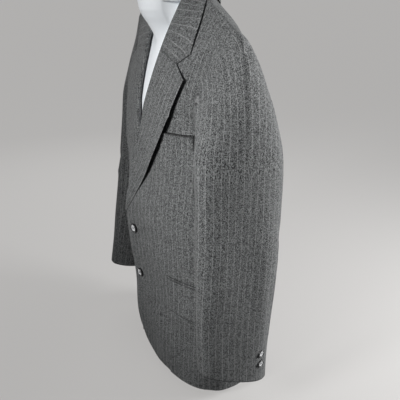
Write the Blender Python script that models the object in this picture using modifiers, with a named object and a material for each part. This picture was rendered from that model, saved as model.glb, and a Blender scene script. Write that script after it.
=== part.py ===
"""A two-button blazer with notch lapels, worn by a limbless torso form.

+Z is up, the wearer faces -Y and the wearer's left is +X. The origin is the middle of the
form's flat base. All sizes are in metres. Every cut piece is a thin wall laid over one body
shape, torso(), or over one arm shape, sleeve().
"""

import math

import bmesh
import bpy
import numpy as np

NAME = "two_button_blazer"

# Walls and gaps
CLOTH = 0.0015
SEAM = 0.0003
FOLDED_SEAM = 0.0009  # how far a wall stops short of a seam that turns a corner
ARMHOLE_SEAM = 0.0018
UNDERARM_SEAM = 0.0014
ROLL_R = 0.0032  # how round the lapel and collar turn back, at the middle of the wall
BREAK_R = 0.0019  # the same where the lapel starts
FOOT_R = 0.0030  # the collar's foot inside the neckline
PATCH_LIFT = 0.0020  # middle of a pocket piece above the middle of the front's wall
BUTTON_LIFT = 0.0016  # underside of a front button above it
CUFF_LIFT = 0.0011  # underside of a sleeve button above the sleeve's

# Shoulders
CHEST = 0.59  # height where the body's rings end and the shoulders close over
TIP_X = 0.250
TIP_Z = 0.732
NECK_X = 0.085
NECK_Z = 0.800
SHOULDER_HALF = 0.252  # half width of the ring that the shoulder seams lie on
RIDGE_Y = -0.008
RIDGE_TURN = 0.06  # share of a level over which the surface turns from front to back there
FRONT_ROUND = 1.13
BACK_ROUND = 1.6
SIDE_ROUND = 2.2
PROW_WIDTH = 0.047  # how quickly the pulled front edge falls back to the body on the left
PROW_WIDTH_RIGHT = 0.022
PROW_BLUNT = 0.008

# Front opening
LAP = 0.022  # the fronts cross the middle by this much
BREAK_Z = 0.362  # where the lapel starts to turn back
CUTAWAY_Z = 0.182  # where the front edge starts to curve away
CUTAWAY_X = 0.113  # how far out the curve meets the hem
CUTAWAY_POWER = 2.65

# Buttons
BUTTON_X = 0.006
BUTTON_ZS = {"upper": 0.329, "lower": 0.221}
BUTTON_R = 0.010
CUFF_BUTTON_R = 0.0075
CUFF_BUTTONS = ((36.0, 0.160), (36.0, 0.136))  # degrees round the sleeve and height
BUTTON_PROFILE = (
    # radius and height, as shares of the button's radius
    (0.00, 0.24),
    (0.62, 0.26),
    (0.80, 0.42),
    (1.00, 0.30),
    (0.96, 0.06),
    (0.70, 0.00),
    (0.00, 0.00),
)

# Pockets, in degrees round the body and heights
WELT_DEGREES = (30.0, 62.0)
WELT_HEIGHTS = (0.527, 0.553)
WELT_RISE = 0.004  # its outer end is this much higher
FLAP_DEGREES = (34.0, 90.0)
FLAP_HEIGHTS = (0.183, 0.257)
FLAP_DROP = 0.006  # its back end is this much lower
JET_HEIGHT = 0.005

# Seams, in degrees round the body from the centre front
FRONT_SEAM = 64.0
BACK_SEAM = 116.0
ARMHOLE_FRONT_Z = 0.572
ARMHOLE_BACK_Z = 0.582
ARMHOLE_LOW_Z = 0.548

RINGS = (
    # height, half_width, front, back, prow
    (0.00, 0.216, 0.100, 0.132, 0.008),
    (0.10, 0.208, 0.100, 0.134, 0.012),
    (0.20, 0.201, 0.097, 0.128, 0.014),
    (0.30, 0.194, 0.103, 0.116, 0.019),
    (0.38, 0.190, 0.106, 0.108, 0.018),
    (0.47, 0.183, 0.098, 0.111, 0.010),
    (CHEST, 0.170, 0.093, 0.122, -0.003),
)
HEM = (
    # degrees, height
    (0.0, 0.026),
    (40.0, 0.021),
    (70.0, 0.020),
    (110.0, 0.020),
    (180.0, 0.022),
)
ROLL = (
    # height, x
    (BREAK_Z, -LAP),
    (0.460, 0.000),
    (0.540, 0.015),
    (0.620, 0.030),
    (0.716, 0.047),
    (0.760, 0.063),
    (0.800, NECK_X),
)
LAP_RISE = (
    # height, how far the left front stands out and the right front stands in
    (0.00, 0.0020),
    (0.10, 0.0026),
    (0.25, 0.0022),
    (0.36, 0.0027),
    (0.40, 0.0042),
    (0.48, 0.0044),
    (0.60, 0.0010),
)
ARMHOLE = (
    # level, degrees of the front's edge, degrees of the back's edge
    (0.95, 64.0, 116.0),
    (1.15, 59.5, 119.0),
    (1.40, 55.0, 121.0),
    (1.70, 60.5, 119.0),
    (2.00, 65.5, 114.5),
)
LAPEL_EDGE = (
    # height, x of the lapel's outer edge
    (BREAK_Z, -0.017),
    (0.450, 0.044),
    (0.530, 0.088),
    (0.610, 0.122),
    (0.654, 0.139),
)
LAPEL_LIFT = 0.004  # how far the lapel's outer edge springs off the chest
LIFT_FROM = 0.2  # the share of its length where that starts
LAPEL_FAN = 0.92  # how the lapel's rows fan out
LEG_SHARES = (0.12, 0.05)  # the leg behind the roll, as shares of the lapel's width
LAPEL_SHARES = (0.08, 0.22, 0.42, 0.62, 0.82, 1.0)
ROLL_TURNS = (-90, -45, 0, 45, 90)
GORGE = ((0.043, 0.693), (0.139, 0.654))  # x and height, from the roll line to the lapel's tip
NOTCH_AT = 0.50  # of the way along it
COLLAR_TIP = (0.136, 0.696)
FALL_LIFT = 0.0040  # how far the collar's edge stands off the shoulders
FALL_BULGE = 0.006
END_FADE = 0.13  # share of half the collar over which its front end leads into the rest
COLLAR_STATIONS = (0, 0.04, 0.10, 0.18, 0.28, 0.36, 0.42, 0.50, 0.62, 0.74, 0.87, 1)
COLLAR_SHARES = (0.2, 0.4, 0.6, 0.8, 1.0)  # from the roll to the fall's edge
NOTCH_SHARE = 0.6  # the share at the notch's inner corner
COLLAR = (
    # along, neckline x, neckline over, fall edge x, fall edge over, stand height, stand lean
    (0.00, 0.043, -0.562, 0.136, -0.490, 0.001, 0.000),
    (0.20, 0.063, -0.335, 0.135, -0.256, 0.008, 0.001),
    (0.42, 0.085, 0.000, 0.119, 0.017, 0.020, 0.003),
    (0.62, 0.072, 0.170, 0.088, 0.230, 0.028, 0.005),
    (0.82, 0.038, 0.300, 0.050, 0.365, 0.031, 0.006),
    (1.00, 0.000, 0.350, 0.000, 0.420, 0.032, 0.006),
)
LEFT_ARM = (
    # height, x, y, half width sideways, half width fore and aft, tilt down to the back
    (0.530, 0.246, -0.004, 0.042, 0.081, 0.01),
    (0.420, 0.256, -0.007, 0.040, 0.080, 0.04),
    (0.320, 0.262, -0.012, 0.038, 0.077, 0.09),
    (0.220, 0.262, -0.016, 0.036, 0.073, 0.18),
    (0.108, 0.258, -0.014, 0.036, 0.070, 0.33),
)
RIGHT_ARM = (
    # height, x, y, half width sideways, half width fore and aft, tilt down to the back
    (0.530, 0.249, 0.026, 0.044, 0.079, 0.06),
    (0.420, 0.254, 0.010, 0.041, 0.075, 0.06),
    (0.320, 0.256, -0.005, 0.039, 0.071, 0.08),
    (0.220, 0.256, -0.023, 0.037, 0.067, 0.10),
    (0.108, 0.252, -0.045, 0.037, 0.062, 0.12),
)
ARM_ROUND = 2.2
ARMHOLE_CENTRE = (0.0, 0.645)  # y and height
SLEEVE_FRONT_SEAM = -115.0  # degrees round the sleeve from its outermost line, + to the back
SLEEVE_BACK_SEAM = 75.0
CAP_REACH = 0.68  # how full the sleeve head is
CAP_FLARE = 0.25  # how much it spreads as it leaves the armhole
CAP_BACK_FLARE = 0.35
CAP_DROP = 0.30  # how steeply it leaves

FORM = (
    # height, half_width, front and back as shares of the cloth's distance from the middle
    (0.000, 0.110, 0.50, 0.52),
    (0.100, 0.106, 0.48, 0.50),
    (0.150, 0.112, 0.52, 0.55),
    (0.180, 0.132, 0.68, 0.70),
    (0.205, 0.154, 0.82, 0.82),
    (0.240, 0.168, 0.88, 0.88),
    (0.300, 0.170, 0.89, 0.90),
    (0.380, 0.166, 0.89, 0.88),
    (0.470, 0.162, 0.89, 0.90),
    (0.560, 0.156, 0.89, 0.92),
    (0.620, 0.164, 0.88, 0.92),
    (0.670, 0.180, 0.87, 0.92),
    (0.710, 0.194, 0.85, 0.93),
    (0.738, 0.200, 0.84, 0.94),
    (0.7508, 0.200, 0.83, 0.95),
    (0.7632, 0.170, 0.79, 0.92),
    (0.7755, 0.140, 0.72, 0.86),
    (0.7764, 0.110, 0.45, 0.76),
    (0.7772, 0.072, 0.20, 0.58),
)
FORM_NECK = (
    # height, half_width, half_depth, middle_y
    (0.690, 0.038, 0.036, -0.010),
    (0.730, 0.044, 0.050, -0.016),
    (0.762, 0.050, 0.056, -0.030),
    (0.785, 0.053, 0.056, -0.033),
    (0.830, 0.054, 0.057, -0.035),
    (0.900, 0.055, 0.060, -0.040),
)
FORM_STEPS = 48
FORM_TOP_ROWS = 5  # the shoulder's rows, each a ring of its own
FORM_EDGE = 0.001  # the shoulder line's own thickness
FORM_DROP = 0.0022
FORM_RIDGE_Y = RIDGE_Y + 0.001
BLEND = 0.003  # how softly the neck grows out of the shoulders
FORM_RINGS = 14
FORM_NECK_RINGS = (0.7785, 0.795, 0.815, 0.850, 0.890, 0.898)
FORM_NECK_END = 0.900
NECK_ROUND = 0.9  # how narrow the neck's last ring is

MATERIALS = {
    # name: sRGB colour, roughness, metallic
    "pinstripe_wool": ("6B6B6C", 0.90, 0.0),
    "pearl_button": ("B9BABC", 0.30, 0.0),
    "form_shell": ("F1F1F0", 0.45, 0.0),
}


# ---------------------------------------------------------------- shapes


def read(table, at):
    """The rows of a table at the keys wanted, on a smooth curve through its rows."""
    rows = np.array(sorted(table), float)
    keys, values = rows[:, 0], rows[:, 1:]
    slope = np.gradient(values, keys, axis=0)
    at = np.clip(np.asarray(at, float), keys[0], keys[-1])
    i = np.clip(np.searchsorted(keys, at) - 1, 0, len(keys) - 2)
    width = keys[i + 1] - keys[i]
    t = ((at - keys[i]) / width)[..., None]
    width = width[..., None]
    return (
        (2 * t**3 - 3 * t**2 + 1) * values[i]
        + (t**3 - 2 * t**2 + t) * width * slope[i]
        + (3 * t**2 - 2 * t**3) * values[i + 1]
        + (t**3 - t**2) * width * slope[i + 1]
    )


def power(value, exponent):
    return np.sign(value) * np.abs(value) ** exponent


def unit(vector):
    return vector / np.maximum(np.linalg.norm(vector, axis=-1, keepdims=True), 1e-12)


def ridge(x):
    """Height of the shoulder line."""
    return NECK_Z - (np.abs(x) - NECK_X) * (NECK_Z - TIP_Z) / (TIP_X - NECK_X)


def ring(level, front):
    """Half width and depth of the body's outline at a level, and how far its front edge juts."""
    half, ahead, behind, prow = np.moveaxis(read(RINGS, np.minimum(level, 1) * CHEST), -1, 0)
    close = np.sin(np.clip(level - 1, 0, 1) * math.pi / 2) ** 1.5
    half = half + (SHOULDER_HALF - half) * close
    return half, np.where(front, ahead, behind), prow * front * (1 - close)


def torso(degrees, level, pull=1.0):
    """The cloth's middle surface: level 0 is the floor, 1 the chest and 2 the shoulder line."""
    angle = np.radians(degrees)
    level = np.asarray(level, float)
    s, c = np.sin(angle), np.cos(angle)
    half, depth, prow = ring(level, c > 0)
    turn = np.maximum(level - 1, 0) * math.pi / 2
    over = np.where(c > 0, FRONT_ROUND, BACK_ROUND)
    x = half * s
    y = -depth * power(c, 2 / SIDE_ROUND) * power(np.cos(turn), 2 / over)
    fall = np.where(x > -LAP, PROW_WIDTH, PROW_WIDTH_RIGHT)
    jut = np.exp((PROW_BLUNT - np.hypot(x + LAP, PROW_BLUNT)) / fall)
    y = y - pull * prow * jut * np.sqrt(np.clip(c, 0, 1))
    y = y + RIDGE_Y * np.sin(turn) ** 2
    rise = (ridge(x) - CHEST) * np.abs(np.sin(turn)) ** (2 / over)
    z = np.minimum(level, 1) * CHEST + rise
    return np.stack([x, y, z], -1)


def skin(degrees, level, out=0.0):
    """A point of the torso, moved out along the surface's normal."""
    across = torso(degrees + 0.4, level) - torso(degrees - 0.4, level)
    up = torso(degrees, level + 0.004) - torso(degrees, level - 0.004)
    normal = unit(np.cross(across, up))
    return torso(degrees, level) + normal * np.asarray(out, float)[..., None]


def locate(x, z, front=True):
    """Degrees and level of the torso's point that is seen at x and z from the front or back."""
    x, z = np.broadcast_arrays(np.asarray(x, float), np.asarray(z, float))
    over = FRONT_ROUND if front else BACK_ROUND
    share = np.clip((z - CHEST) / (ridge(x) - CHEST), 0, 1)
    turn = np.arcsin(share ** (over / 2))
    level = np.where(z <= CHEST, z / CHEST, 1 + turn / (math.pi / 2))
    return at_x(x, level, front), level


def at_x(x, level, front=True):
    """Degrees of the torso's point at x on a level."""
    half = ring(level, front)[0]
    degrees = np.degrees(np.arcsin(np.clip(x / half, -1, 1)))
    return degrees if front else 180 - degrees


def front_skin(x, z, out=0.0):
    return skin(*locate(x, z), out)


def hem(degrees):
    return read(HEM, np.abs(degrees))[..., 0]


def roll_x(z):
    return read(ROLL, z)[..., 0]


def edge_x(z):
    """x of the front edge: the roll line, the straight lap, then the cutaway."""
    drop = np.clip((CUTAWAY_Z - z) / (CUTAWAY_Z - HEM[0][1]), 0, 1)
    away = 1 - (1 - drop**CUTAWAY_POWER) ** (1 / CUTAWAY_POWER)
    return np.where(z > BREAK_Z, roll_x(z), (CUTAWAY_X + LAP) * away - LAP)


def lap_rise(x, z, side):
    """The left front stands out over the right one near the middle, which stands in."""
    return side * read(LAP_RISE, z)[..., 0] * np.exp(-((x / 0.05) ** 2))


def front_spot(x, z, out, side):
    """A point over one front: x grows away from the middle on either side."""
    return front_skin(side * x, z, out + lap_rise(x, z, side))


def arm_ring(degrees, height, side=1):
    """The sleeve's outline at a height, as a left sleeve's."""
    x, y, wide, deep, tilt = np.moveaxis(read(LEFT_ARM if side > 0 else RIGHT_ARM, height), -1, 0)
    angle = np.radians(degrees)
    aft = deep * power(np.sin(angle), 2 / ARM_ROUND)
    x = x + wide * power(np.cos(angle), 2 / ARM_ROUND)
    return np.stack([x, y + aft, height - tilt * aft], -1)


def armhole_line():
    """The armhole's edge as points, from the shoulder tip down the front and up the back."""
    levels = np.linspace(2, ARMHOLE_FRONT_Z / CHEST, 40)
    front = torso(read(ARMHOLE, levels)[..., 0], levels)
    degrees = np.linspace(FRONT_SEAM, BACK_SEAM, 40)
    low = torso(degrees, armhole_low(degrees) / CHEST)
    levels = np.linspace(ARMHOLE_BACK_Z / CHEST, 2, 40)
    back = torso(read(ARMHOLE, levels)[..., 1], levels)
    return np.concatenate([front, low[1:-1], back[:-1]])


def armhole_low(degrees):
    """Height of the side panel's top edge."""
    t = (np.asarray(degrees, float) - FRONT_SEAM) / (BACK_SEAM - FRONT_SEAM)
    ends = ARMHOLE_FRONT_Z + (ARMHOLE_BACK_Z - ARMHOLE_FRONT_Z) * t
    return ends - (ends - ARMHOLE_LOW_Z) * np.clip(4 * t * (1 - t), 0, 1) ** 0.7


def armhole(degrees):
    """The armhole's point in a direction round its centre: 0 is up and 90 is backward."""
    line = armhole_line()
    angle = np.degrees(np.arctan2(line[:, 1] - ARMHOLE_CENTRE[0], line[:, 2] - ARMHOLE_CENTRE[1]))
    order = np.argsort(angle)
    wanted = (np.asarray(degrees, float) + 180) % 360 - 180
    return np.stack(
        [np.interp(wanted, angle[order], line[order, i], period=360) for i in range(3)], -1
    )


def sleeve(degrees, along, side=1):
    """The sleeve's middle surface: along is 0 at the armhole, 1 at the biceps and 2 at the cuff."""
    degrees, along = np.broadcast_arrays(np.asarray(degrees, float), np.asarray(along, float))
    top, bottom = LEFT_ARM[0][0], LEFT_ARM[-1][0]
    ring_point = arm_ring(degrees, top + (bottom - top) * np.clip(along - 1, 0, 1), side)
    angle = np.radians(degrees)[..., None]
    end = arm_ring(degrees, np.full(degrees.shape, top), side)
    radial = np.sin(angle) * [0, 1, 0] + np.cos(angle) * [0, 0, 1]
    flare = CAP_FLARE + CAP_BACK_FLARE * np.clip(np.sin(angle), 0, 1)
    leave = unit(np.array([1.0, 0, -CAP_DROP]) + flare * radial)
    start = armhole(degrees) + leave * ARMHOLE_SEAM
    reach = CAP_REACH * np.linalg.norm(end - start, axis=-1, keepdims=True)
    t = np.clip(along, 0, 1)[..., None]
    cap = (
        (2 * t**3 - 3 * t**2 + 1) * start
        + (t**3 - 2 * t**2 + t) * reach * leave
        + (3 * t**2 - 2 * t**3) * end
        + (t**3 - t**2) * reach * [0, 0, -1.0]
    )
    return np.where(along[..., None] < 1, cap, ring_point) * [side, 1, 1]


def cuff_spot(degrees, height, side):
    """A point just above the sleeve at a height, and one a little further out."""
    along = np.linspace(1, 2, 60)
    line = sleeve(np.full(60, degrees), along, side)
    at = np.interp(-height, -line[:, 2], along)
    here, around, up = (
        sleeve(np.array(degrees + d), np.array(at + a), side)
        for d, a in ((0, 0), (2, 0), (0, -0.02))
    )
    normal = side * unit(np.cross(around - here, up - here))
    return here + normal * CUFF_LIFT, here + normal * (CUFF_LIFT + 0.001)


# ---------------------------------------------------------------- grids of points


def blend(low, high, shares):
    return low + (high - low) * shares


LOW_ROWS = (0, 0.004, 0.014, 0.030, 0.055, 0.09, 0.14, 0.21, 0.31, 0.42, 0.54, 0.66, 0.78, 0.89, 1)
PLAIN_ROWS = LOW_ROWS[:1] + LOW_ROWS[5:]  # without the front's curved corner
HIGH_ROWS = tuple(i / 8 for i in range(1, 9))
EDGE_BIAS = 1.4  # columns lie closer together near the edge where a grid starts
NECK_SHARE = 0.70  # of the back's width, where the shoulder seam ends and the neckline starts


def front_grid(side, columns=12):
    """The front: rows from the hem to the shoulder seam, columns from the edge to the armhole."""
    across = np.linspace(0, 1, columns) ** EDGE_BIAS
    rows = []
    for share in LOW_ROWS:
        left = np.array(20.0)
        for _ in range(12):
            z = blend(hem(left), ARMHOLE_FRONT_Z, share)
            left = at_x(edge_x(z), z / CHEST)
        degrees = blend(left, FRONT_SEAM, across)
        rows.append((degrees, blend(hem(degrees), ARMHOLE_FRONT_Z, share) / CHEST))
    for share in HIGH_ROWS:
        level = blend(ARMHOLE_FRONT_Z / CHEST, 2.0, share)
        z = np.array(CHEST)
        for _ in range(30):
            z = 0.5 * z + 0.5 * torso(at_x(roll_x(z), level), level)[2]
        left = at_x(roll_x(z), level)
        right = read(ARMHOLE, level)[..., 0]
        rows.append((blend(left, right, across), np.full(columns, level)))
    degrees, level = (np.array([row[i] for row in rows]) for i in (0, 1))
    x, _, z = np.moveaxis(torso(degrees, level), -1, 0)
    return skin(side * degrees, level, lap_rise(x, z, side))


def side_grid(side, columns=7):
    degrees = np.linspace(FRONT_SEAM, BACK_SEAM, columns)[None, :]
    height = blend(hem(degrees), armhole_low(degrees), np.array(PLAIN_ROWS)[:, None])
    return torso(side * degrees + 0 * height, height / CHEST)


def neckline_level(degrees):
    """Level of the back's top edge: the shoulder line, then down to the collar's seam."""
    line = read(COLLAR, np.linspace(COLLAR[2][0], 1, 60))
    level = np.full(np.shape(degrees), 2.0)
    for _ in range(20):
        x = np.abs(torso(degrees, level)[..., 0])
        level = 2.0 - np.interp(-x, -line[:, 0], line[:, 1])
    return level


def back_grid(side, columns=7):
    """The back: half its columns lie under the shoulder seam and half under the neckline."""
    past = np.linspace(0, 1, columns)[1:] ** EDGE_BIAS
    across = np.concatenate([np.linspace(0, NECK_SHARE, columns), blend(NECK_SHARE, 1, past)])
    rows = []
    for share in PLAIN_ROWS:
        degrees = blend(BACK_SEAM, 180.0, across)
        rows.append((degrees, blend(hem(degrees), ARMHOLE_BACK_Z, share) / CHEST))
    start = ARMHOLE_BACK_Z / CHEST
    for share in HIGH_ROWS:
        left = read(ARMHOLE, blend(start, 2.0, share))[..., 1]
        degrees = blend(left, 180.0, across)
        rows.append((degrees, blend(start, neckline_level(degrees), share)))
    degrees, level = (np.array([row[i] for row in rows]) for i in (0, 1))
    return torso(side * degrees, level)


def lapel_grid(side, rows=13):
    """The lapel: each row goes up the inner leg, round the roll and out to the edge."""
    u = np.linspace(0, 1, rows)
    z_roll = blend(BREAK_Z, GORGE[0][1], u)
    z_edge = blend(BREAK_Z, GORGE[1][1], u**LAPEL_FAN)
    inner = np.stack([roll_x(z_roll), z_roll], -1)
    outer = np.stack([read(LAPEL_EDGE, z_edge)[..., 0], z_edge], -1)
    radius = blend(BREAK_R, ROLL_R, np.clip(u / 0.25, 0, 1))

    def spot_of(place, out):
        return front_spot(place[:, 0], place[:, 1], out, side)

    faces = [spot_of(blend(inner, outer, share), -radius) for share in LEG_SHARES]
    roll = spot_of(inner, 0 * radius)
    above = spot_of(inner, 0 * radius + 0.001)
    normal = unit(above - roll)
    aside = unit(spot_of(blend(inner, outer, LEG_SHARES[-1]), 0 * radius) - roll)
    for turn in ROLL_TURNS:
        a = math.radians(turn)
        faces.append(roll + (normal * math.sin(a) - aside * math.cos(a)) * radius[:, None])
    for share in LAPEL_SHARES:
        spot = blend(inner, outer, share)
        lift = np.sin(np.pi * np.clip((u - LIFT_FROM) / (1 - LIFT_FROM), 0, 1)) ** 0.5
        stand = radius + LAPEL_LIFT * lift * share**2
        faces.append(spot_of(spot, stand))
    return np.stack(faces, 1)


def over_skin(x, over, out):
    """A point over the shoulder: over is below 0 on the front, 0 on the ridge, above 0 behind."""
    level = 2 - np.abs(over)
    ahead = skin(at_x(x, level, True), level, out)
    behind = skin(at_x(x, level, False), level, out)
    return blend(ahead, behind, np.clip(0.5 + over / RIDGE_TURN, 0, 1)[:, None])


def notch_line():
    """The collar's front end, from the roll line down the gorge and up to the collar's tip."""
    start, tip = np.array([roll_x(GORGE[0][1]), GORGE[0][1]]), np.array(GORGE[1])
    corner = blend(start, tip, NOTCH_AT)
    end = np.array(COLLAR_TIP)
    spots = [
        blend(start, corner, share / NOTCH_SHARE)
        if share <= NOTCH_SHARE
        else blend(corner, end, (share - NOTCH_SHARE) / (1 - NOTCH_SHARE))
        for share in COLLAR_SHARES
    ]
    x, z = np.array(spots).T
    return front_skin(x, z, np.full(len(x), ROLL_R))


def collar_line(along):
    """The collar's seam as x and over: the roll line to the shoulder, then round the back."""
    x, over = np.moveaxis(read(COLLAR, along), -1, 0)[:2]
    front = along < COLLAR[2][0]
    z = blend(GORGE[0][1], NECK_Z, np.minimum(along / COLLAR[2][0], 1))
    level = locate(roll_x(z), z)[1]
    return np.where(front, roll_x(z), x), np.where(front, level - 2, over)


def collar_half():
    """Half the collar, from its front end to the centre back."""
    along = np.array(COLLAR_STATIONS, float)
    fall_x, fall_over, height, lean = np.moveaxis(read(COLLAR, along), -1, 0)[2:]
    neck_x, neck_over = collar_line(along)
    flat = np.zeros(len(along))
    base = over_skin(neck_x, neck_over, flat)
    inward = unit([0, 0.01, 0] - base * [1, 1, 0])
    foot = over_skin(neck_x, neck_over, flat - blend(ROLL_R, FOOT_R, np.clip(along / 0.3, 0, 1)))
    roll = base + np.array([0, 0, 1.0]) * height[:, None] + inward * lean[:, None]
    edge = over_skin(fall_x, fall_over, flat + FALL_LIFT)
    aside = unit(edge - roll)
    normal = unit(np.cross(unit(np.gradient(roll, axis=0)), aside))
    normal *= np.sign((normal * -inward).sum(-1, keepdims=True) + 1e-9)
    inner = roll - normal * ROLL_R
    faces = [foot, blend(foot, inner, 0.5)]
    for turn in ROLL_TURNS:
        a = math.radians(turn)
        faces.append(roll + (normal * math.sin(a) - aside * math.cos(a)) * ROLL_R)
    outer = roll + normal * ROLL_R
    full = (height / height[-1])[:, None]
    for share in COLLAR_SHARES:
        bulge = normal * (FALL_BULGE * math.sin(math.pi * share)) * full
        faces.append(blend(outer, edge, share) + bulge)
    points = np.stack(faces, 1)
    front = np.concatenate([lapel_grid(1)[-1, : -len(COLLAR_SHARES) - 1], notch_line()])
    fade = np.clip(1 - along / END_FADE, 0, 1)[:, None, None] ** 2
    return points + (front - points[0]) * fade


# ---------------------------------------------------------------- objects


def linear(channel):
    return channel / 12.92 if channel <= 0.04045 else ((channel + 0.055) / 1.055) ** 2.4


def material(name):
    colour, roughness, metallic = MATERIALS[name]
    made = bpy.data.materials.new(name)
    made.use_nodes = True
    shader = made.node_tree.nodes["Principled BSDF"]
    rgb = [linear(int(colour[i : i + 2], 16) / 255) for i in (0, 2, 4)]
    shader.inputs["Base Color"].default_value = (*rgb, 1)
    shader.inputs["Roughness"].default_value = roughness
    shader.inputs["Metallic"].default_value = metallic
    made.diffuse_color = (*rgb, 1)
    return made


def inset(points, aside=SEAM / 2, top=SEAM / 2):
    """Draws the four sides of a grid in, so that neighbours keep a seam's gap."""
    points = points.copy()
    for axis, gaps in ((0, (SEAM / 2, top)), (1, (aside, aside))):
        grid = np.swapaxes(points, 0, axis)
        for edge, nxt, gap in ((0, 1, gaps[0]), (-1, -2, gaps[1])):
            step = grid[nxt] - grid[edge]
            long = np.linalg.norm(step, axis=-1, keepdims=True)
            grid[edge] += step / np.maximum(long, 1e-9) * np.minimum(gap, 0.3 * long)
    return points


def add_object(collection, name, mesh, surface):
    mesh.materials.append(surface)
    made = bpy.data.objects.new(name, mesh)
    collection.objects.link(made)
    return made


def panel(collection, name, points, surface, flip=False, wall=CLOTH):
    """A cloth wall: the grid as a sheet, thickened to both sides."""
    rows, columns = points.shape[:2]
    work = bmesh.new()
    grid = [[work.verts.new(points[i, j]) for j in range(columns)] for i in range(rows)]
    for i in range(rows - 1):
        for j in range(columns - 1):
            corners = (grid[i][j], grid[i][j + 1], grid[i + 1][j + 1], grid[i + 1][j])
            work.faces.new(corners[::-1] if flip else corners)
    mesh = bpy.data.meshes.new(name)
    work.to_mesh(mesh)
    work.free()
    mesh.shade_smooth()
    made = add_object(collection, name, mesh, surface)
    thick = made.modifiers.new("wall", "SOLIDIFY")
    thick.thickness = wall
    thick.offset = 0
    return made


def both_sides(collection, name, grid, surface, **gaps):
    """The left piece and the right one. grid takes the side, +1 or -1, and gives points."""
    for side, word in ((1, "left"), (-1, "right")):
        points = inset(grid(side), **gaps)
        panel(collection, f"{word}_{name}", points, surface, flip=side < 0)


def patch(degrees, heights, slope, columns, rows, side):
    """A pocket piece: its outer end is higher by the slope."""
    across = np.linspace(0, 1, columns)[None, :]
    height = blend(*heights, np.linspace(0, 1, rows)[:, None]) + slope * across
    degrees = side * blend(*degrees, across) + 0 * height
    return skin(degrees, height / CHEST, np.full(height.shape, PATCH_LIFT))


def button(collection, name, under, above, radius, surface):
    """A turned button, flat underneath, with a rounded rim round a dished face."""
    work = bmesh.new()
    verts = [work.verts.new((r * radius, 0, h * radius)) for r, h in BUTTON_PROFILE]
    edges = [work.edges.new(pair) for pair in zip(verts[:-1], verts[1:])]
    bmesh.ops.spin(
        work, geom=verts + edges, cent=(0, 0, 0), axis=(0, 0, 1), angle=2 * math.pi,
        steps=14, use_merge=True,
    )
    bmesh.ops.remove_doubles(work, verts=work.verts, dist=1e-6)
    bmesh.ops.recalc_face_normals(work, faces=work.faces)
    mesh = bpy.data.meshes.new(name)
    work.to_mesh(mesh)
    work.free()
    mesh.shade_smooth()
    made = add_object(collection, name, mesh, surface)
    x, y, z = unit(above - under)
    made.location = under
    made.rotation_euler = (0, math.acos(z), math.atan2(y, x))
    return made


def body_y(x, z, front):
    """y of the cloth at x and z, without the pull of the buttoned edge."""
    return torso(*locate(x, z, front), 0.0)[..., 1]


def form_ring(height, spots):
    """The form's outline: the cloth's, drawn in, with the neck standing out of it."""
    half, ahead, behind = read(FORM, height)
    wide, deep, middle = read(FORM_NECK, height)
    if height > FORM[-1][0]:
        half = wide
    front = np.abs(spots) <= 1
    t = np.where(front, spots, np.sign(spots) * (2 - np.abs(spots)))
    inner, outer = np.minimum(np.abs(t), 0.5), np.maximum(np.abs(t) - 0.5, 0)
    flank = wide * math.sin(math.radians(60))
    x = wide * np.sin(np.radians(120 * inner))
    ease = 12 * outer**2 - 16 * outer**3
    x = np.sign(t) * (x + (max(half, wide) - flank) * ease)
    column = deep * np.sqrt(np.clip(1 - (x / wide) ** 2, 0, 1))
    if height > FORM[-1][0]:
        return np.stack([x, middle + np.where(front, -column, column), 0 * x + height], -1)
    lead, trail = (
        (body_y(x, height + FORM_DROP, side_ahead) - FORM_RIDGE_Y) * share
        for side_ahead, share in ((True, ahead), (False, behind))
    )
    end = (1 - np.clip(np.abs(x) / half, 0, 1) ** 6) ** (1 / 6)
    away = np.where(front, -lead, trail + FORM_EDGE) * end
    if height > FORM_NECK[0][0]:
        column = column + np.where(front, FORM_RIDGE_Y - middle, middle - FORM_RIDGE_Y)
        column = np.where(np.abs(t) <= 0.5, column, -1.0)
        away = BLEND * np.logaddexp(away / BLEND, column / BLEND)
    return np.stack([x, FORM_RIDGE_Y + np.where(front, -away, away), 0 * x + height], -1)


def form_object(collection, surface):
    """The torso form: a foot, the body drawn in from the cloth, and a plain neck stub."""
    spots = np.linspace(-2, 2, FORM_STEPS, endpoint=False)
    heights = [row[0] for row in FORM]
    low = np.linspace(0, heights[-FORM_TOP_ROWS - 1], FORM_RINGS)
    rings = [form_ring(z, spots) for z in (*low, *heights[-FORM_TOP_ROWS:], *FORM_NECK_RINGS)]
    rings.append(rings[-1] * [NECK_ROUND, 1, 1] + [0, 0, FORM_NECK_END - FORM_NECK_RINGS[-1]])
    work = bmesh.new()
    loops = [[work.verts.new(point) for point in ring_points] for ring_points in rings]
    for below, above in zip(loops[:-1], loops[1:]):
        for i in range(FORM_STEPS):
            j = (i + 1) % FORM_STEPS
            work.faces.new((below[i], below[j], above[j], above[i]))
    work.faces.new(loops[0][::-1])
    work.faces.new(loops[-1])
    mesh = bpy.data.meshes.new("torso_form")
    work.to_mesh(mesh)
    work.free()
    mesh.shade_smooth()
    return add_object(collection, "torso_form", mesh, surface)


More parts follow.
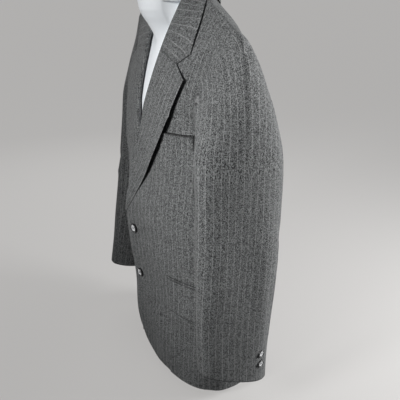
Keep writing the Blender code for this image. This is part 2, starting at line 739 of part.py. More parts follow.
def main():
    for old in list(bpy.data.objects):
        bpy.data.objects.remove(old)
    collection = bpy.data.collections.new(NAME)
    bpy.context.scene.collection.children.link(collection)
    wool, pearl, shell = (material(name) for name in MATERIALS)

    both_sides(collection, "front", front_grid, wool, top=FOLDED_SEAM)
    both_sides(collection, "side", side_grid, wool, top=UNDERARM_SEAM)
    both_sides(collection, "back", back_grid, wool, top=FOLDED_SEAM)
    both_sides(collection, "lapel", lapel_grid, wool)

    half = collar_half()
    half[0] += unit(half[1] - half[0]) * SEAM
    other = half[-2::-1] * [-1, 1, 1]
    panel(collection, "collar", np.concatenate([half, other]), wool)

    along = np.concatenate([np.linspace(0, 1, 9), np.linspace(1, 2, 6)[1:]])[::-1]
    upper = np.linspace(SLEEVE_FRONT_SEAM, SLEEVE_BACK_SEAM, 13)
    under = np.linspace(SLEEVE_BACK_SEAM, SLEEVE_FRONT_SEAM + 360, 12)
    for name, degrees in (("upper_sleeve", upper), ("under_sleeve", under)):
        both_sides(
            collection,
            name,
            lambda side, d=degrees: sleeve(d[None, :], along[:, None], side),
            wool,
            aside=SEAM,
        )

    points = patch(WELT_DEGREES, WELT_HEIGHTS, WELT_RISE, 8, 3, 1)
    panel(collection, "breast_welt", points, wool)
    jet_heights = (FLAP_HEIGHTS[1] + SEAM, FLAP_HEIGHTS[1] + SEAM + JET_HEIGHT)
    for name, heights, rows in (("hip_flap", FLAP_HEIGHTS, 4), ("hip_jet", jet_heights, 2)):
        both_sides(
            collection,
            name,
            lambda side, h=heights, n=rows: patch(FLAP_DEGREES, h, -FLAP_DROP, 11, n, side),
            wool,
        )

    for word, z in BUTTON_ZS.items():
        under, above = (
            front_spot(np.array(BUTTON_X), np.array(z), BUTTON_LIFT + out, 1) for out in (0, 0.001)
        )
        button(collection, f"front_button_{word}", under, above, BUTTON_R, pearl)
    for side, word in ((1, "left"), (-1, "right")):
        for i, (degrees, height) in enumerate(CUFF_BUTTONS):
            under, above = cuff_spot(degrees, height, side)
            button(collection, f"{word}_cuff_button_{i + 1}", under, above, CUFF_BUTTON_R, pearl)

    form_object(collection, shell)


if __name__ == "__main__":
    main()
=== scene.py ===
"""Looks of a two-button blazer on a limbless torso form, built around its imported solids.

Every cut piece is a closed cloth shell over torso() or sleeve(), the shapes that the solids
have, with its folds, seams and edges. Its UV map is in metres along and across the cloth's
grain, so each pattern has its real size. +Z is up and the wearer faces -Y.
"""

import math

import bmesh
import bpy
import numpy as np
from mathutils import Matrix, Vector


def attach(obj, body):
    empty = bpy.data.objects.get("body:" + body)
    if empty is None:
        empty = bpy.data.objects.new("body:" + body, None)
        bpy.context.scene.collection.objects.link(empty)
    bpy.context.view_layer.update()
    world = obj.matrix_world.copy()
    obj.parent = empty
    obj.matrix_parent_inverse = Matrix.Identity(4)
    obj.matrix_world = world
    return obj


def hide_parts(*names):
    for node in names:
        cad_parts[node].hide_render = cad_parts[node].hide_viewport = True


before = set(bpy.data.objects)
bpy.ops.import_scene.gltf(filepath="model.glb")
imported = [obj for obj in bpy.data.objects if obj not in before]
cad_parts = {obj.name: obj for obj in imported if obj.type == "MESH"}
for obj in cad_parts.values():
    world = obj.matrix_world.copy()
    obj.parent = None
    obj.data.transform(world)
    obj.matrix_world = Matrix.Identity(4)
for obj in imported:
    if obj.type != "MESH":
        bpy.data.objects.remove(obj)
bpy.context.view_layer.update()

bl_info = {
    "name": "Two-button blazer",
    "version": (1, 0, 0),
    "blender": (4, 5, 0),
    "location": "View3D > Sidebar > Blazer",
    "description": "Builds the cloth, buttons, torso form and stage of a pinstripe blazer",
    "category": "Object",
}

BOTH = ((1, "left"), (-1, "right"))

# ---------------------------------------------------------------- shape, as the solids have it

ROLL_R = 0.0032  # radius of the lapels' and collar's roll
BREAK_R = 0.0019  # and at the lapels' lower ends
FOOT_R = 0.0030  # how far the collar's stand starts inside the cloth
PATCH_LIFT = 0.0020  # middle of a pocket piece's wall above the front's
BUTTON_LIFT = 0.0016
CUFF_LIFT = 0.0011
NORMAL_STEP = 0.001  # between two points that give a direction out of the cloth

CHEST = 0.59  # height of level 1, where the torso starts to close
TIP_X = 0.250  # the shoulder line runs straight from the neck to the tip
TIP_Z = 0.732
NECK_X = 0.085
NECK_Z = 0.800
SHOULDER_HALF = 0.252
SHOULDER_EASE = 1.5  # how late the body widens to the shoulder
RIDGE_Y = -0.008  # y of the shoulder line
RIDGE_TURN = 0.06  # levels in which the collar crosses it
FRONT_ROUND = 1.13  # powers of the outlines: 2 is a circle, and more is squarer
BACK_ROUND = 1.6
SIDE_ROUND = 2.2
PROW_WIDTH = 0.047  # the buttoned edge is pulled out to a prow, which fades over this width
PROW_WIDTH_RIGHT = 0.022
PROW_BLUNT = 0.008

LAP = 0.022  # how far each front passes the middle
LAP_REACH = 0.05  # and how far from the middle it stands out
BREAK_Z = 0.362  # where the lapels start
CUTAWAY_Z = 0.182  # where the front edge starts to curve away, and where it ends
CUTAWAY_X = 0.113
CUTAWAY_POWER = 2.65

BUTTON_X = 0.006  # places and sizes of the buttons
BUTTON_ZS = {"upper": 0.329, "lower": 0.221}
BUTTON_R = 0.010
CUFF_BUTTON_R = 0.0075
CUFF_BUTTONS = ((36.0, 0.160), (36.0, 0.136))  # degrees round the sleeve, and height

WELT_DEGREES = (30.0, 62.0)
WELT_HEIGHTS = (0.527, 0.553)
WELT_RISE = 0.004  # how much higher its outer end is
FLAP_DEGREES = (34.0, 90.0)
FLAP_HEIGHTS = (0.183, 0.257)
FLAP_DROP = 0.006  # how much lower its outer end is
JET_HEIGHT = 0.005
POCKET_SLIT = 0.0012  # gap between a flap and its jet
MOUTH = 0.0016  # height of the black strip of painted shade in a pocket's mouth
MOUTH_LIFT = 0.0012  # its middle above the front's, and its wall
MOUTH_WALL = 0.0005
POCKET_GAPE = 0.0036  # how far a welt's top and a flap's bottom stand off the front

FRONT_SEAM = 64.0  # degrees round the body: 0 is the front and 90 is the side
BACK_SEAM = 116.0
ARMHOLE_FRONT_Z = 0.572
ARMHOLE_BACK_Z = 0.582
ARMHOLE_LOW_Z = 0.548
ARMHOLE_ROUND = 0.7  # power of its low curve: less is flatter

RINGS = (
    # height, half_width, front, back, prow
    (0.00, 0.216, 0.100, 0.132, 0.008),
    (0.10, 0.208, 0.100, 0.134, 0.012),
    (0.20, 0.201, 0.097, 0.128, 0.014),
    (0.30, 0.194, 0.103, 0.116, 0.019),
    (0.38, 0.190, 0.106, 0.108, 0.018),
    (0.47, 0.183, 0.098, 0.111, 0.010),
    (CHEST, 0.170, 0.093, 0.122, -0.003),
)
HEM = (
    # degrees, height
    (0.0, 0.026),
    (40.0, 0.021),
    (70.0, 0.020),
    (110.0, 0.020),
    (180.0, 0.022),
)
ROLL = (
    # height, x
    (BREAK_Z, -LAP),
    (0.460, 0.000),
    (0.540, 0.015),
    (0.620, 0.030),
    (0.716, 0.047),
    (0.760, 0.063),
    (0.800, NECK_X),
)
LAP_RISE = (
    # height, how far the left front stands out and the right front stands in
    (0.00, 0.0020),
    (0.10, 0.0026),
    (0.25, 0.0022),
    (0.36, 0.0027),
    (0.40, 0.0042),
    (0.48, 0.0044),
    (0.60, 0.0010),
)
ARMHOLE = (
    # level, degrees of the front's edge, degrees of the back's edge
    (0.95, 64.0, 116.0),
    (1.15, 59.5, 119.0),
    (1.40, 55.0, 121.0),
    (1.70, 60.5, 119.0),
    (2.00, 65.5, 114.5),
)
LAPEL_EDGE = (
    # height, x of the lapel's outer edge
    (BREAK_Z, -0.017),
    (0.450, 0.044),
    (0.530, 0.088),
    (0.610, 0.122),
    (0.654, 0.139),
)
LAPEL_LIFT = 0.0090
GORGE = ((0.043, 0.693), (0.139, 0.654))  # x and height of its two ends, as below
NOTCH = (0.107, 0.677)
NOTCH_FROM = 0.85  # share of the lapel from which its rows bend to the notch
COLLAR_TIP = (0.136, 0.696)
NOTCH_SHARE = 0.6  # share of the collar's front end that follows the gorge
COLLAR = (
    # along, neckline x, neckline over, fall edge x, fall edge over, stand height, stand lean
    (0.00, 0.043, -0.562, 0.136, -0.490, 0.001, 0.000),
    (0.20, 0.063, -0.335, 0.135, -0.256, 0.008, 0.001),
    (0.42, 0.085, 0.000, 0.119, 0.017, 0.020, 0.003),
    (0.62, 0.072, 0.170, 0.088, 0.230, 0.028, 0.005),
    (0.82, 0.038, 0.300, 0.050, 0.365, 0.031, 0.006),
    (1.00, 0.000, 0.350, 0.000, 0.420, 0.032, 0.006),
)
LEFT_ARM = (
    # height, x, y, half width sideways, half width fore and aft, tilt down to the back
    (0.530, 0.246, -0.004, 0.042, 0.081, 0.01),
    (0.420, 0.256, -0.007, 0.040, 0.080, 0.04),
    (0.320, 0.262, -0.012, 0.038, 0.077, 0.09),
    (0.220, 0.262, -0.016, 0.036, 0.073, 0.18),
    (0.108, 0.258, -0.014, 0.036, 0.070, 0.33),
)
RIGHT_ARM = (
    # height, x, y, half width sideways, half width fore and aft, tilt down to the back
    (0.530, 0.249, 0.026, 0.044, 0.079, 0.06),
    (0.420, 0.254, 0.010, 0.041, 0.075, 0.06),
    (0.320, 0.256, -0.005, 0.039, 0.071, 0.08),
    (0.220, 0.256, -0.023, 0.037, 0.067, 0.10),
    (0.108, 0.252, -0.045, 0.037, 0.062, 0.12),
)
ARM_ROUND = 2.2
ARMHOLE_CENTRE = (0.0, 0.645)  # y and height
SLEEVE_FRONT_SEAM = -115.0  # degrees round a sleeve: 0 is outermost and 90 is backward
SLEEVE_BACK_SEAM = 75.0
CAP_REACH = 0.68  # how roundly the sleeve head leaves the armhole, and its slopes there
CAP_FLARE = 0.25
CAP_BACK_FLARE = 0.35
CAP_DROP = 0.30
HANG_REACH = 0.26  # the corner at the biceps is averaged over so much of the sleeve's length
HANG_NEAR = 0.35
HANG_STEPS = np.linspace(-1, 1, 9)
HANG_WEIGHTS = np.cos(HANG_STEPS * math.pi / 2) + 0.05

FORM = (
    # height, half_width, front and back as shares of the cloth's distance from the middle
    (0.000, 0.110, 0.50, 0.52),
    (0.100, 0.106, 0.48, 0.50),
    (0.150, 0.112, 0.52, 0.55),
    (0.180, 0.132, 0.68, 0.70),
    (0.205, 0.154, 0.82, 0.82),
    (0.240, 0.168, 0.88, 0.88),
    (0.300, 0.170, 0.89, 0.90),
    (0.380, 0.166, 0.89, 0.88),
    (0.470, 0.162, 0.89, 0.90),
    (0.560, 0.156, 0.89, 0.92),
    (0.620, 0.164, 0.88, 0.92),
    (0.670, 0.180, 0.87, 0.92),
    (0.710, 0.194, 0.85, 0.93),
    (0.738, 0.200, 0.84, 0.94),
    (0.7508, 0.200, 0.83, 0.95),
    (0.7632, 0.170, 0.79, 0.92),
    (0.7755, 0.140, 0.72, 0.86),
    (0.7764, 0.110, 0.45, 0.76),
    (0.7772, 0.072, 0.20, 0.58),
)
FORM_NECK = (
    # height, half_width, half_depth, middle_y
    (0.690, 0.038, 0.036, -0.010),
    (0.730, 0.044, 0.050, -0.016),
    (0.762, 0.050, 0.056, -0.030),
    (0.785, 0.053, 0.056, -0.033),
    (0.830, 0.054, 0.057, -0.035),
    (0.900, 0.055, 0.060, -0.040),
)
FORM_EDGE = 0.001  # how far its back stands behind the ridge
FORM_DROP = 0.0022  # how far its shoulders lie below the cloth
FORM_RIDGE_Y = RIDGE_Y + 0.001
FORM_ROUND = 6  # power of its flanks
QUARTERS = (0.25, 0.5, 0.75, 1.0)
FORM_STEPS = 144
FORM_ROWS = 70
BLEND = 0.003  # how softly the neck runs into the shoulders
FORM_TOP_ROWS = 5  # the last rows of FORM are rings of their own
FORM_NECK_RINGS = (0.7785, 0.795, 0.815, 0.850, 0.898)
FORM_NECK_SPAN = 60  # degrees round the neck at which the shoulder's flank starts
FORM_END_R = 0.002  # rounding of the neck's cut end
FORM_END_TURNS = (20, 40, 60, 80)

# ---------------------------------------------------------------- folds, in the cloth's own terms

BODY_FOLDS = (
    # degrees and height where it starts, the same where it ends, width, rise, in metres
    (3, 0.325, 40, 0.395, 0.009, 0.0011),
    (4, 0.318, 50, 0.335, 0.010, -0.0010),
    (6, 0.300, 36, 0.262, 0.010, 0.0009),
    (51, 0.535, 54, 0.420, 0.016, -0.0030),
    (60, 0.500, 62, 0.300, 0.010, 0.0012),
    (42, 0.470, 62, 0.430, 0.012, 0.0010),
    (20, 0.170, 28, 0.050, 0.022, 0.0016),
    (46, 0.170, 50, 0.030, 0.024, -0.0018),
    (-6, 0.312, -42, 0.380, 0.010, 0.0011),
    (-8, 0.300, -50, 0.290, 0.011, -0.0010),
    (-50, 0.530, -55, 0.400, 0.017, -0.0026),
    (-24, 0.180, -30, 0.040, 0.024, 0.0016),
    (-11, 0.270, -17, 0.120, 0.034, -0.0030),
    (-30, 0.110, -31, 0.020, 0.055, -0.0100),
    (-10, 0.085, -11, 0.025, 0.036, -0.0120),
    (-48, 0.160, -44, 0.030, 0.022, -0.0016),
    (122, 0.560, 130, 0.360, 0.017, -0.0044),
    (134, 0.540, 138, 0.300, 0.020, 0.0022),
    (150, 0.420, 176, 0.400, 0.014, 0.0028),
    (146, 0.385, 180, 0.372, 0.013, -0.0030),
    (142, 0.300, 140, 0.060, 0.026, 0.0038),
    (160, 0.280, 163, 0.040, 0.030, -0.0040),
    (-124, 0.550, -131, 0.350, 0.018, -0.0042),
    (-138, 0.530, -134, 0.320, 0.020, 0.0022),
    (-148, 0.405, -180, 0.396, 0.013, 0.0016),
    (-144, 0.310, -143, 0.050, 0.026, 0.0036),
    (-164, 0.270, -161, 0.040, 0.030, -0.0036),
    (80, 0.300, 84, 0.060, 0.020, 0.0014),
    (66, 0.012, 118, 0.012, 0.034, -0.0065),
    (-82, 0.310, -80, 0.050, 0.020, 0.0014),
)
LEFT_SLEEVE_FOLDS = (
    # degrees and height where it starts, the same where it ends, width, rise, in metres
    (-7, 0.722, 0, 0.712, 0.0085, -0.0058),
    (-16, 0.735, -10, 0.731, 0.010, 0.0018),
    (8, 0.700, 22, 0.660, 0.013, 0.0014),
    (-14, 0.490, -8, 0.160, 0.030, -0.0062),
    (-84, 0.520, -86, 0.140, 0.012, 0.0018),
    (26, 0.400, 34, 0.180, 0.014, 0.0030),
    (-62, 0.560, -66, 0.200, 0.012, 0.0018),
    (-48, 0.440, -40, 0.150, 0.012, 0.0012),
    (-96, 0.395, -50, 0.372, 0.009, -0.0018),
    (-92, 0.360, -56, 0.345, 0.008, 0.0013),
    (52, 0.420, 80, 0.350, 0.011, -0.0020),
    (60, 0.385, 88, 0.322, 0.010, 0.0018),
    (46, 0.640, 64, 0.500, 0.013, -0.0022),
    (62, 0.300, 70, 0.180, 0.012, 0.0014),
    (140, 0.420, 220, 0.380, 0.012, -0.0016),
)
RIGHT_SLEEVE_FOLDS = (
    # degrees and height where it starts, the same where it ends, width, rise, in metres
    (2, 0.724, 10, 0.714, 0.009, -0.0040),
    (12, 0.700, 26, 0.655, 0.013, 0.0016),
    (-14, 0.480, -8, 0.190, 0.022, -0.0036),
    (24, 0.410, 30, 0.170, 0.015, 0.0028),
    (-60, 0.550, -64, 0.210, 0.012, 0.0018),
    (-98, 0.410, -48, 0.380, 0.010, -0.0022),
    (-94, 0.372, -54, 0.350, 0.009, 0.0016),
    (50, 0.430, 82, 0.360, 0.012, -0.0022),
    (58, 0.395, 86, 0.330, 0.010, 0.0018),
    (44, 0.640, 62, 0.510, 0.013, -0.0022),
    (150, 0.400, 215, 0.370, 0.012, -0.0016),
)
FOLD_SWAY = (0.25, 5.0, 40)  # a fold sways by a share of its width: share, pace, start a degree
FOLD_ENDS = 0.4  # share of a fold's rise that is left at its ends
FOLD_TAIL = 1.2  # widths in which it then dies away
FOLD_FADE = (0.5, 0.7)  # levels in which the body's folds grow below the shoulder, and power
ROLL_CALM = (0.01, 0.05, 0.15)  # beside the roll line: start, width, share that is left
CAP_EASE = 0.35  # how far below the armhole the stripes lean back
CAP_SLANT = 0.68  # how far the stripes lean back as the sleeve head comes in to the shoulder
SHOULDER_BEND = (0.60, 1.8)  # height where the front's stripes turn outward, and how fast
BODY_REACH = 0.165  # metres round the body in a radian
ARM_REACH = 0.062  # metres round the sleeve in a radian
SWELLS = (
    # wave lengths across and up in metres, where it starts, rise
    (0.131, 0.190, 0.4, 0.00045),
    (0.083, 0.260, 2.1, 0.00035),
    (0.061, -0.112, 4.0, 0.00025),
    (0.097, -0.150, 5.2, 0.00030),
)

# ---------------------------------------------------------------- what a user can change


class BlazerCloth(bpy.types.PropertyGroup):
    """Sizes and colours of the cloth."""

    wall: bpy.props.FloatProperty(
        name="Cloth", description="Thickness of the cloth", default=0.0015, unit="LENGTH"
    )
    seam_dip: bpy.props.FloatProperty(
        name="Seam dip", description="Depth of a pressed seam", default=0.0007, unit="LENGTH"
    )
    fold_size: bpy.props.FloatProperty(
        name="Folds", description="Height of the folds, 1 as worn", default=1.0, subtype="FACTOR"
    )
    stripe_gap: bpy.props.FloatProperty(
        name="Stripe spacing", description="From one pinstripe to the next", default=0.0129,
        unit="LENGTH",
    )
    stripe_width: bpy.props.FloatProperty(
        name="Stripe width", description="Width of a pinstripe", default=0.0011, unit="LENGTH"
    )
    thread: bpy.props.FloatProperty(
        name="Thread spacing", description="Width of a drawn thread", default=0.0011,
        unit="LENGTH",
    )
    dark: bpy.props.StringProperty(
        name="Dark thread", description="sRGB hex colour of the dark yarn", default="232324"
    )
    light: bpy.props.StringProperty(
        name="Light thread", description="sRGB hex colour of the light yarn", default="838585"
    )
    stripe: bpy.props.StringProperty(
        name="Stripe", description="sRGB hex colour of the pinstripe", default="919292"
    )


class BlazerTrim(bpy.types.PropertyGroup):
    """Colours of the buttons and of the torso form."""

    rim: bpy.props.StringProperty(
        name="Button rim", description="sRGB hex colour of the dark rim", default="161617"
    )
    pearl: bpy.props.StringProperty(
        name="Button face", description="sRGB hex colour of the pearl face", default="D9DBDD"
    )
    form: bpy.props.StringProperty(
        name="Form", description="sRGB hex colour of the torso form", default="ECF3F9"
    )


class BlazerStage(bpy.types.PropertyGroup):
    """The camera and the floor."""

    azimuth: bpy.props.FloatProperty(
        name="Azimuth", description="Camera's turn round the wearer",
        default=math.radians(65.66), subtype="ANGLE",
    )
    elevation: bpy.props.FloatProperty(
        name="Elevation", description="Camera's height above the horizon",
        default=math.radians(22.59), subtype="ANGLE",
    )
    distance: bpy.props.FloatProperty(
        name="Distance", description="From the camera to its target", default=1.1996,
        unit="LENGTH",
    )
    aside: bpy.props.FloatProperty(
        name="Target aside", description="Target's place to the camera's right", default=0.0313,
        unit="LENGTH",
    )
    height: bpy.props.FloatProperty(
        name="Target height", description="Target's height", default=0.3686, unit="LENGTH"
    )
    lens: bpy.props.FloatProperty(
        name="Lens", description="Focal length for a 36 mm sensor, in millimetres",
        default=49.707,
    )
    floor: bpy.props.StringProperty(
        name="Floor", description="sRGB hex colour of the floor", default="7A7978"
    )


# ---------------------------------------------------------------- surfaces


def read(table, at):
    """The rows of a table at the keys wanted, on a smooth curve through its rows."""
    rows = np.array(sorted(table), float)
    keys, values = rows[:, 0], rows[:, 1:]
    slope = np.gradient(values, keys, axis=0)
    at = np.clip(np.asarray(at, float), keys[0], keys[-1])
    i = np.clip(np.searchsorted(keys, at) - 1, 0, len(keys) - 2)
    width = keys[i + 1] - keys[i]
    t = ((at - keys[i]) / width)[..., None]
    width = width[..., None]
    return (
        (2 * t**3 - 3 * t**2 + 1) * values[i]
        + (t**3 - 2 * t**2 + t) * width * slope[i]
        + (3 * t**2 - 2 * t**3) * values[i + 1]
        + (t**3 - t**2) * width * slope[i + 1]
    )


def power(value, exponent):
    """A power that keeps the value's sign."""
    return np.sign(value) * np.abs(value) ** exponent


def unit(vector):
    """Vectors made one metre long."""
    return vector / np.maximum(np.linalg.norm(vector, axis=-1, keepdims=True), 1e-12)


def blend(low, high, shares):
    """Values between two."""
    return low + (high - low) * shares


def ridge(x):
    """Height of the shoulder line."""
    return NECK_Z - (np.abs(x) - NECK_X) * (NECK_Z - TIP_Z) / (TIP_X - NECK_X)


def ring(level, front):
    """Half width and depth of the body's outline at a level, and how far its front edge juts."""
    half, ahead, behind, prow = np.moveaxis(read(RINGS, np.minimum(level, 1) * CHEST), -1, 0)
    close = np.sin(np.clip(level - 1, 0, 1) * math.pi / 2) ** SHOULDER_EASE
    half = half + (SHOULDER_HALF - half) * close
    return half, np.where(front, ahead, behind), prow * front * (1 - close)


def torso(degrees, level, pull=1.0):
    """The cloth's middle surface: level 0 is the floor, 1 the chest and 2 the shoulder line."""
    angle = np.radians(degrees)
    level = np.asarray(level, float)
    s, c = np.sin(angle), np.cos(angle)
    half, depth, prow = ring(level, c > 0)
    turn = np.maximum(level - 1, 0) * math.pi / 2
    over = np.where(c > 0, FRONT_ROUND, BACK_ROUND)
    x = half * s
    y = -depth * power(c, 2 / SIDE_ROUND) * power(np.cos(turn), 2 / over)
    fall = np.where(x > -LAP, PROW_WIDTH, PROW_WIDTH_RIGHT)
    jut = np.exp((PROW_BLUNT - np.hypot(x + LAP, PROW_BLUNT)) / fall)
    y = y - pull * prow * jut * np.sqrt(np.clip(c, 0, 1))
    y = y + RIDGE_Y * np.sin(turn) ** 2
    rise = (ridge(x) - CHEST) * np.abs(np.sin(turn)) ** (2 / over)
    z = np.minimum(level, 1) * CHEST + rise
    return np.stack([x, y, z], -1)


def skin(degrees, level, out=0.0, turn=0.4, climb=0.004):
    """A point of the torso, moved out along the normal that steps of a turn and a climb give."""
    across = torso(degrees + turn, level) - torso(degrees - turn, level)
    up = torso(degrees, level + climb) - torso(degrees, level - climb)
    normal = unit(np.cross(across, up))
    return torso(degrees, level) + normal * np.asarray(out, float)[..., None]


def locate(x, z, front=True):
    """Degrees and level of the torso's point that is seen at x and z from the front or back."""
    x, z = np.broadcast_arrays(np.asarray(x, float), np.asarray(z, float))
    over = FRONT_ROUND if front else BACK_ROUND
    share = np.clip((z - CHEST) / (ridge(x) - CHEST), 0, 1)
    turn = np.arcsin(share ** (over / 2))
    level = np.where(z <= CHEST, z / CHEST, 1 + turn / (math.pi / 2))
    return at_x(x, level, front), level


def at_x(x, level, front=True):
    """Degrees of the torso's point at x on a level."""
    half = ring(level, front)[0]
    degrees = np.degrees(np.arcsin(np.clip(x / half, -1, 1)))
    return degrees if front else 180 - degrees


def hem(degrees):
    """Height of the body's hem."""
    return read(HEM, np.abs(degrees))[..., 0]


def roll_x(z):
    """x of the roll line, where the lapel turns back."""
    return read(ROLL, z)[..., 0]


def edge_x(z):
    """x of the front edge: the roll line, the straight lap, then the cutaway."""
    drop = np.clip((CUTAWAY_Z - z) / (CUTAWAY_Z - HEM[0][1]), 0, 1)
    away = 1 - (1 - drop**CUTAWAY_POWER) ** (1 / CUTAWAY_POWER)
    return np.where(z > BREAK_Z, roll_x(z), (CUTAWAY_X + LAP) * away - LAP)


def lap_rise(x, z, side):
    """The left front stands out over the right one near the middle, which stands in."""
    return side * read(LAP_RISE, z)[..., 0] * np.exp(-((x / LAP_REACH) ** 2))


def front_spot(x, z, out, side):
    """A point over one front: x grows away from the middle on either side."""
    return skin(*locate(side * x, z), out + lap_rise(x, z, side))


def arm_ring(degrees, height, side=1):
    """The sleeve's outline at a height, as a left sleeve's."""
    x, y, wide, deep, tilt = np.moveaxis(read(LEFT_ARM if side > 0 else RIGHT_ARM, height), -1, 0)
    angle = np.radians(degrees)
    aft = deep * power(np.sin(angle), 2 / ARM_ROUND)
    x = x + wide * power(np.cos(angle), 2 / ARM_ROUND)
    return np.stack([x, y + aft, height - tilt * aft], -1)


def armhole_low(degrees):
    """Height of the side panel's top edge."""
    t = (np.asarray(degrees, float) - FRONT_SEAM) / (BACK_SEAM - FRONT_SEAM)
    ends = ARMHOLE_FRONT_Z + (ARMHOLE_BACK_Z - ARMHOLE_FRONT_Z) * t
    return ends - (ends - ARMHOLE_LOW_Z) * np.clip(4 * t * (1 - t), 0, 1) ** ARMHOLE_ROUND


def armhole_line(count=120):
    """The armhole's edge as points, from the shoulder tip down the front and up the back."""
    levels = np.linspace(2, ARMHOLE_FRONT_Z / CHEST, count)
    front = torso(read(ARMHOLE, levels)[..., 0], levels)
    degrees = np.linspace(FRONT_SEAM, BACK_SEAM, count)
    low = torso(degrees, armhole_low(degrees) / CHEST)
    levels = np.linspace(ARMHOLE_BACK_Z / CHEST, 2, count)
    back = torso(read(ARMHOLE, levels)[..., 1], levels)
    return np.concatenate([front, low[1:-1], back[:-1]])


def armhole(degrees):
    """The armhole's point in a direction round its centre: 0 is up and 90 is backward."""
    line = armhole_line()
    angle = np.degrees(np.arctan2(line[:, 1] - ARMHOLE_CENTRE[0], line[:, 2] - ARMHOLE_CENTRE[1]))
    order = np.argsort(angle)
    wanted = (np.asarray(degrees, float) + 180) % 360 - 180
    return np.stack(
        [np.interp(wanted, angle[order], line[order, i], period=360) for i in range(3)], -1
    )


def sleeve(degrees, along, side=1):
    """The sleeve's middle surface: along is 0 at the armhole, 1 at the biceps and 2 at the cuff."""
    degrees, along = np.broadcast_arrays(np.asarray(degrees, float), np.asarray(along, float))
    top, bottom = LEFT_ARM[0][0], LEFT_ARM[-1][0]
    ring_point = arm_ring(degrees, top + (bottom - top) * np.clip(along - 1, 0, 1), side)
    angle = np.radians(degrees)[..., None]
    end = arm_ring(degrees, np.full(degrees.shape, top), side)
    radial = np.sin(angle) * [0, 1, 0] + np.cos(angle) * [0, 0, 1]
    flare = CAP_FLARE + CAP_BACK_FLARE * np.clip(np.sin(angle), 0, 1)
    leave = unit(np.array([1.0, 0, -CAP_DROP]) + flare * radial)
    start = armhole(degrees)
    reach = CAP_REACH * np.linalg.norm(end - start, axis=-1, keepdims=True)
    t = np.clip(along, 0, 1)[..., None]
    cap = (
        (2 * t**3 - 3 * t**2 + 1) * start
        + (t**3 - 2 * t**2 + t) * reach * leave
        + (3 * t**2 - 2 * t**3) * end
        + (t**3 - t**2) * reach * [0, 0, -1.0]
    )
    return np.where(along[..., None] < 1, cap, ring_point) * [side, 1, 1]


def hung_sleeve(degrees, along, side):
    """The sleeve without the corner where its head meets its arm."""
    near = np.exp(-(((along - 1) / HANG_NEAR) ** 2))
    total = sum(
        weight * sleeve(degrees, np.clip(along + HANG_REACH * step * near, 0, 2), side)
        for step, weight in zip(HANG_STEPS, HANG_WEIGHTS)
    )
    return total / HANG_WEIGHTS.sum()


def over_skin(x, over, out):
    """A point over the shoulder: over is below 0 on the front, 0 on the ridge, above 0 behind."""
    level = 2 - np.abs(over)
    ahead = skin(at_x(x, level, True), level, out)
    behind = skin(at_x(x, level, False), level, out)
    return blend(ahead, behind, np.clip(0.5 + over / RIDGE_TURN, 0, 1)[:, None])


def neckline_level(degrees, rounds=20):
    """Level of the back's top edge: the shoulder line, then down to the collar's seam."""
    line = read(COLLAR, np.linspace(COLLAR[2][0], 1, 60))
    level = np.full(np.shape(degrees), 2.0)
    for _ in range(rounds):
        x = np.abs(torso(degrees, level)[..., 0])
        level = 2.0 - np.interp(-x, -line[:, 0], line[:, 1])
    return level


# ---------------------------------------------------------------- folds and grain


def folded(table, degrees, height, reach):
    """How far the cloth stands out, from a table of folds and the slow swells of hung cloth."""
    out = np.zeros(np.broadcast(degrees, height).shape)
    sway, pace, shift = FOLD_SWAY
    for a0, z0, a1, z1, width, rise in table:
        run = np.array([math.radians(a1 - a0) * reach, z1 - z0])
        long = np.hypot(*run)
        here = np.stack(
            [np.radians((degrees - a0 + 180) % 360 - 180) * reach, height - z0], -1
        )
        t = (here @ run) / long**2
        beside = (here[..., 0] * run[1] - here[..., 1] * run[0]) / long
        beside = beside + sway * width * np.sin(pace * t + shift * a0)
        past = np.maximum(np.abs(t - 0.5) - 0.5, 0) * long
        swell = np.clip(1 - (2 * t - 1) ** 2, 0, 1) ** 0.5 * (1 - FOLD_ENDS) + FOLD_ENDS
        out += rise * swell * np.exp(-((beside / width) ** 2) - (past / (FOLD_TAIL * width)) ** 2)
    for wide, tall, start, rise in SWELLS:
        phase = np.radians(degrees) * reach / wide + height / tall
        out += rise * np.sin(2 * math.pi * phase + start + 0.7 * np.sin(9 * height + start))
    return out


def arc_table(surface, degrees, levels):
    """Distances on a surface round each level from the first of the degrees, and up each."""
    points = surface(degrees[None, :], levels[:, None])
    round_it = np.linalg.norm(np.diff(points, axis=1), axis=-1)
    up = np.linalg.norm(np.diff(points, axis=0), axis=-1)
    first = np.zeros((len(levels), 1)), np.zeros((1, len(degrees)))
    return (
        np.concatenate([first[0], np.cumsum(round_it, 1)], 1),
        np.concatenate([first[1], np.cumsum(up, 0)], 0),
    )


def look_up(table, degrees, levels, at_degrees, at_levels):
    """Reads a table between its rows and columns."""
    i = np.clip(np.searchsorted(levels, at_levels) - 1, 0, len(levels) - 2)
    j = np.clip(np.searchsorted(degrees, at_degrees) - 1, 0, len(degrees) - 2)
    a = (at_levels - levels[i]) / (levels[i + 1] - levels[i])
    b = (at_degrees - degrees[j]) / (degrees[j + 1] - degrees[j])
    low = blend(table[i, j], table[i, j + 1], b)
    return blend(low, blend(table[i + 1, j], table[i + 1, j + 1], b), a)


def body_grain(degrees, level, middle):
    """Metres across the cloth from the middle of a piece, and metres up, over the body."""
    turn, rows = np.linspace(0, 180, 181), np.linspace(0, 2, 161)
    round_it, up = arc_table(lambda d, n: torso(d, n, 0.0), turn, rows)
    across = look_up(round_it, turn, rows, degrees, level)
    start = look_up(round_it, turn, rows, np.full_like(degrees, middle), level)
    return np.stack([across - start, look_up(up, turn, rows, degrees, level)], -1)


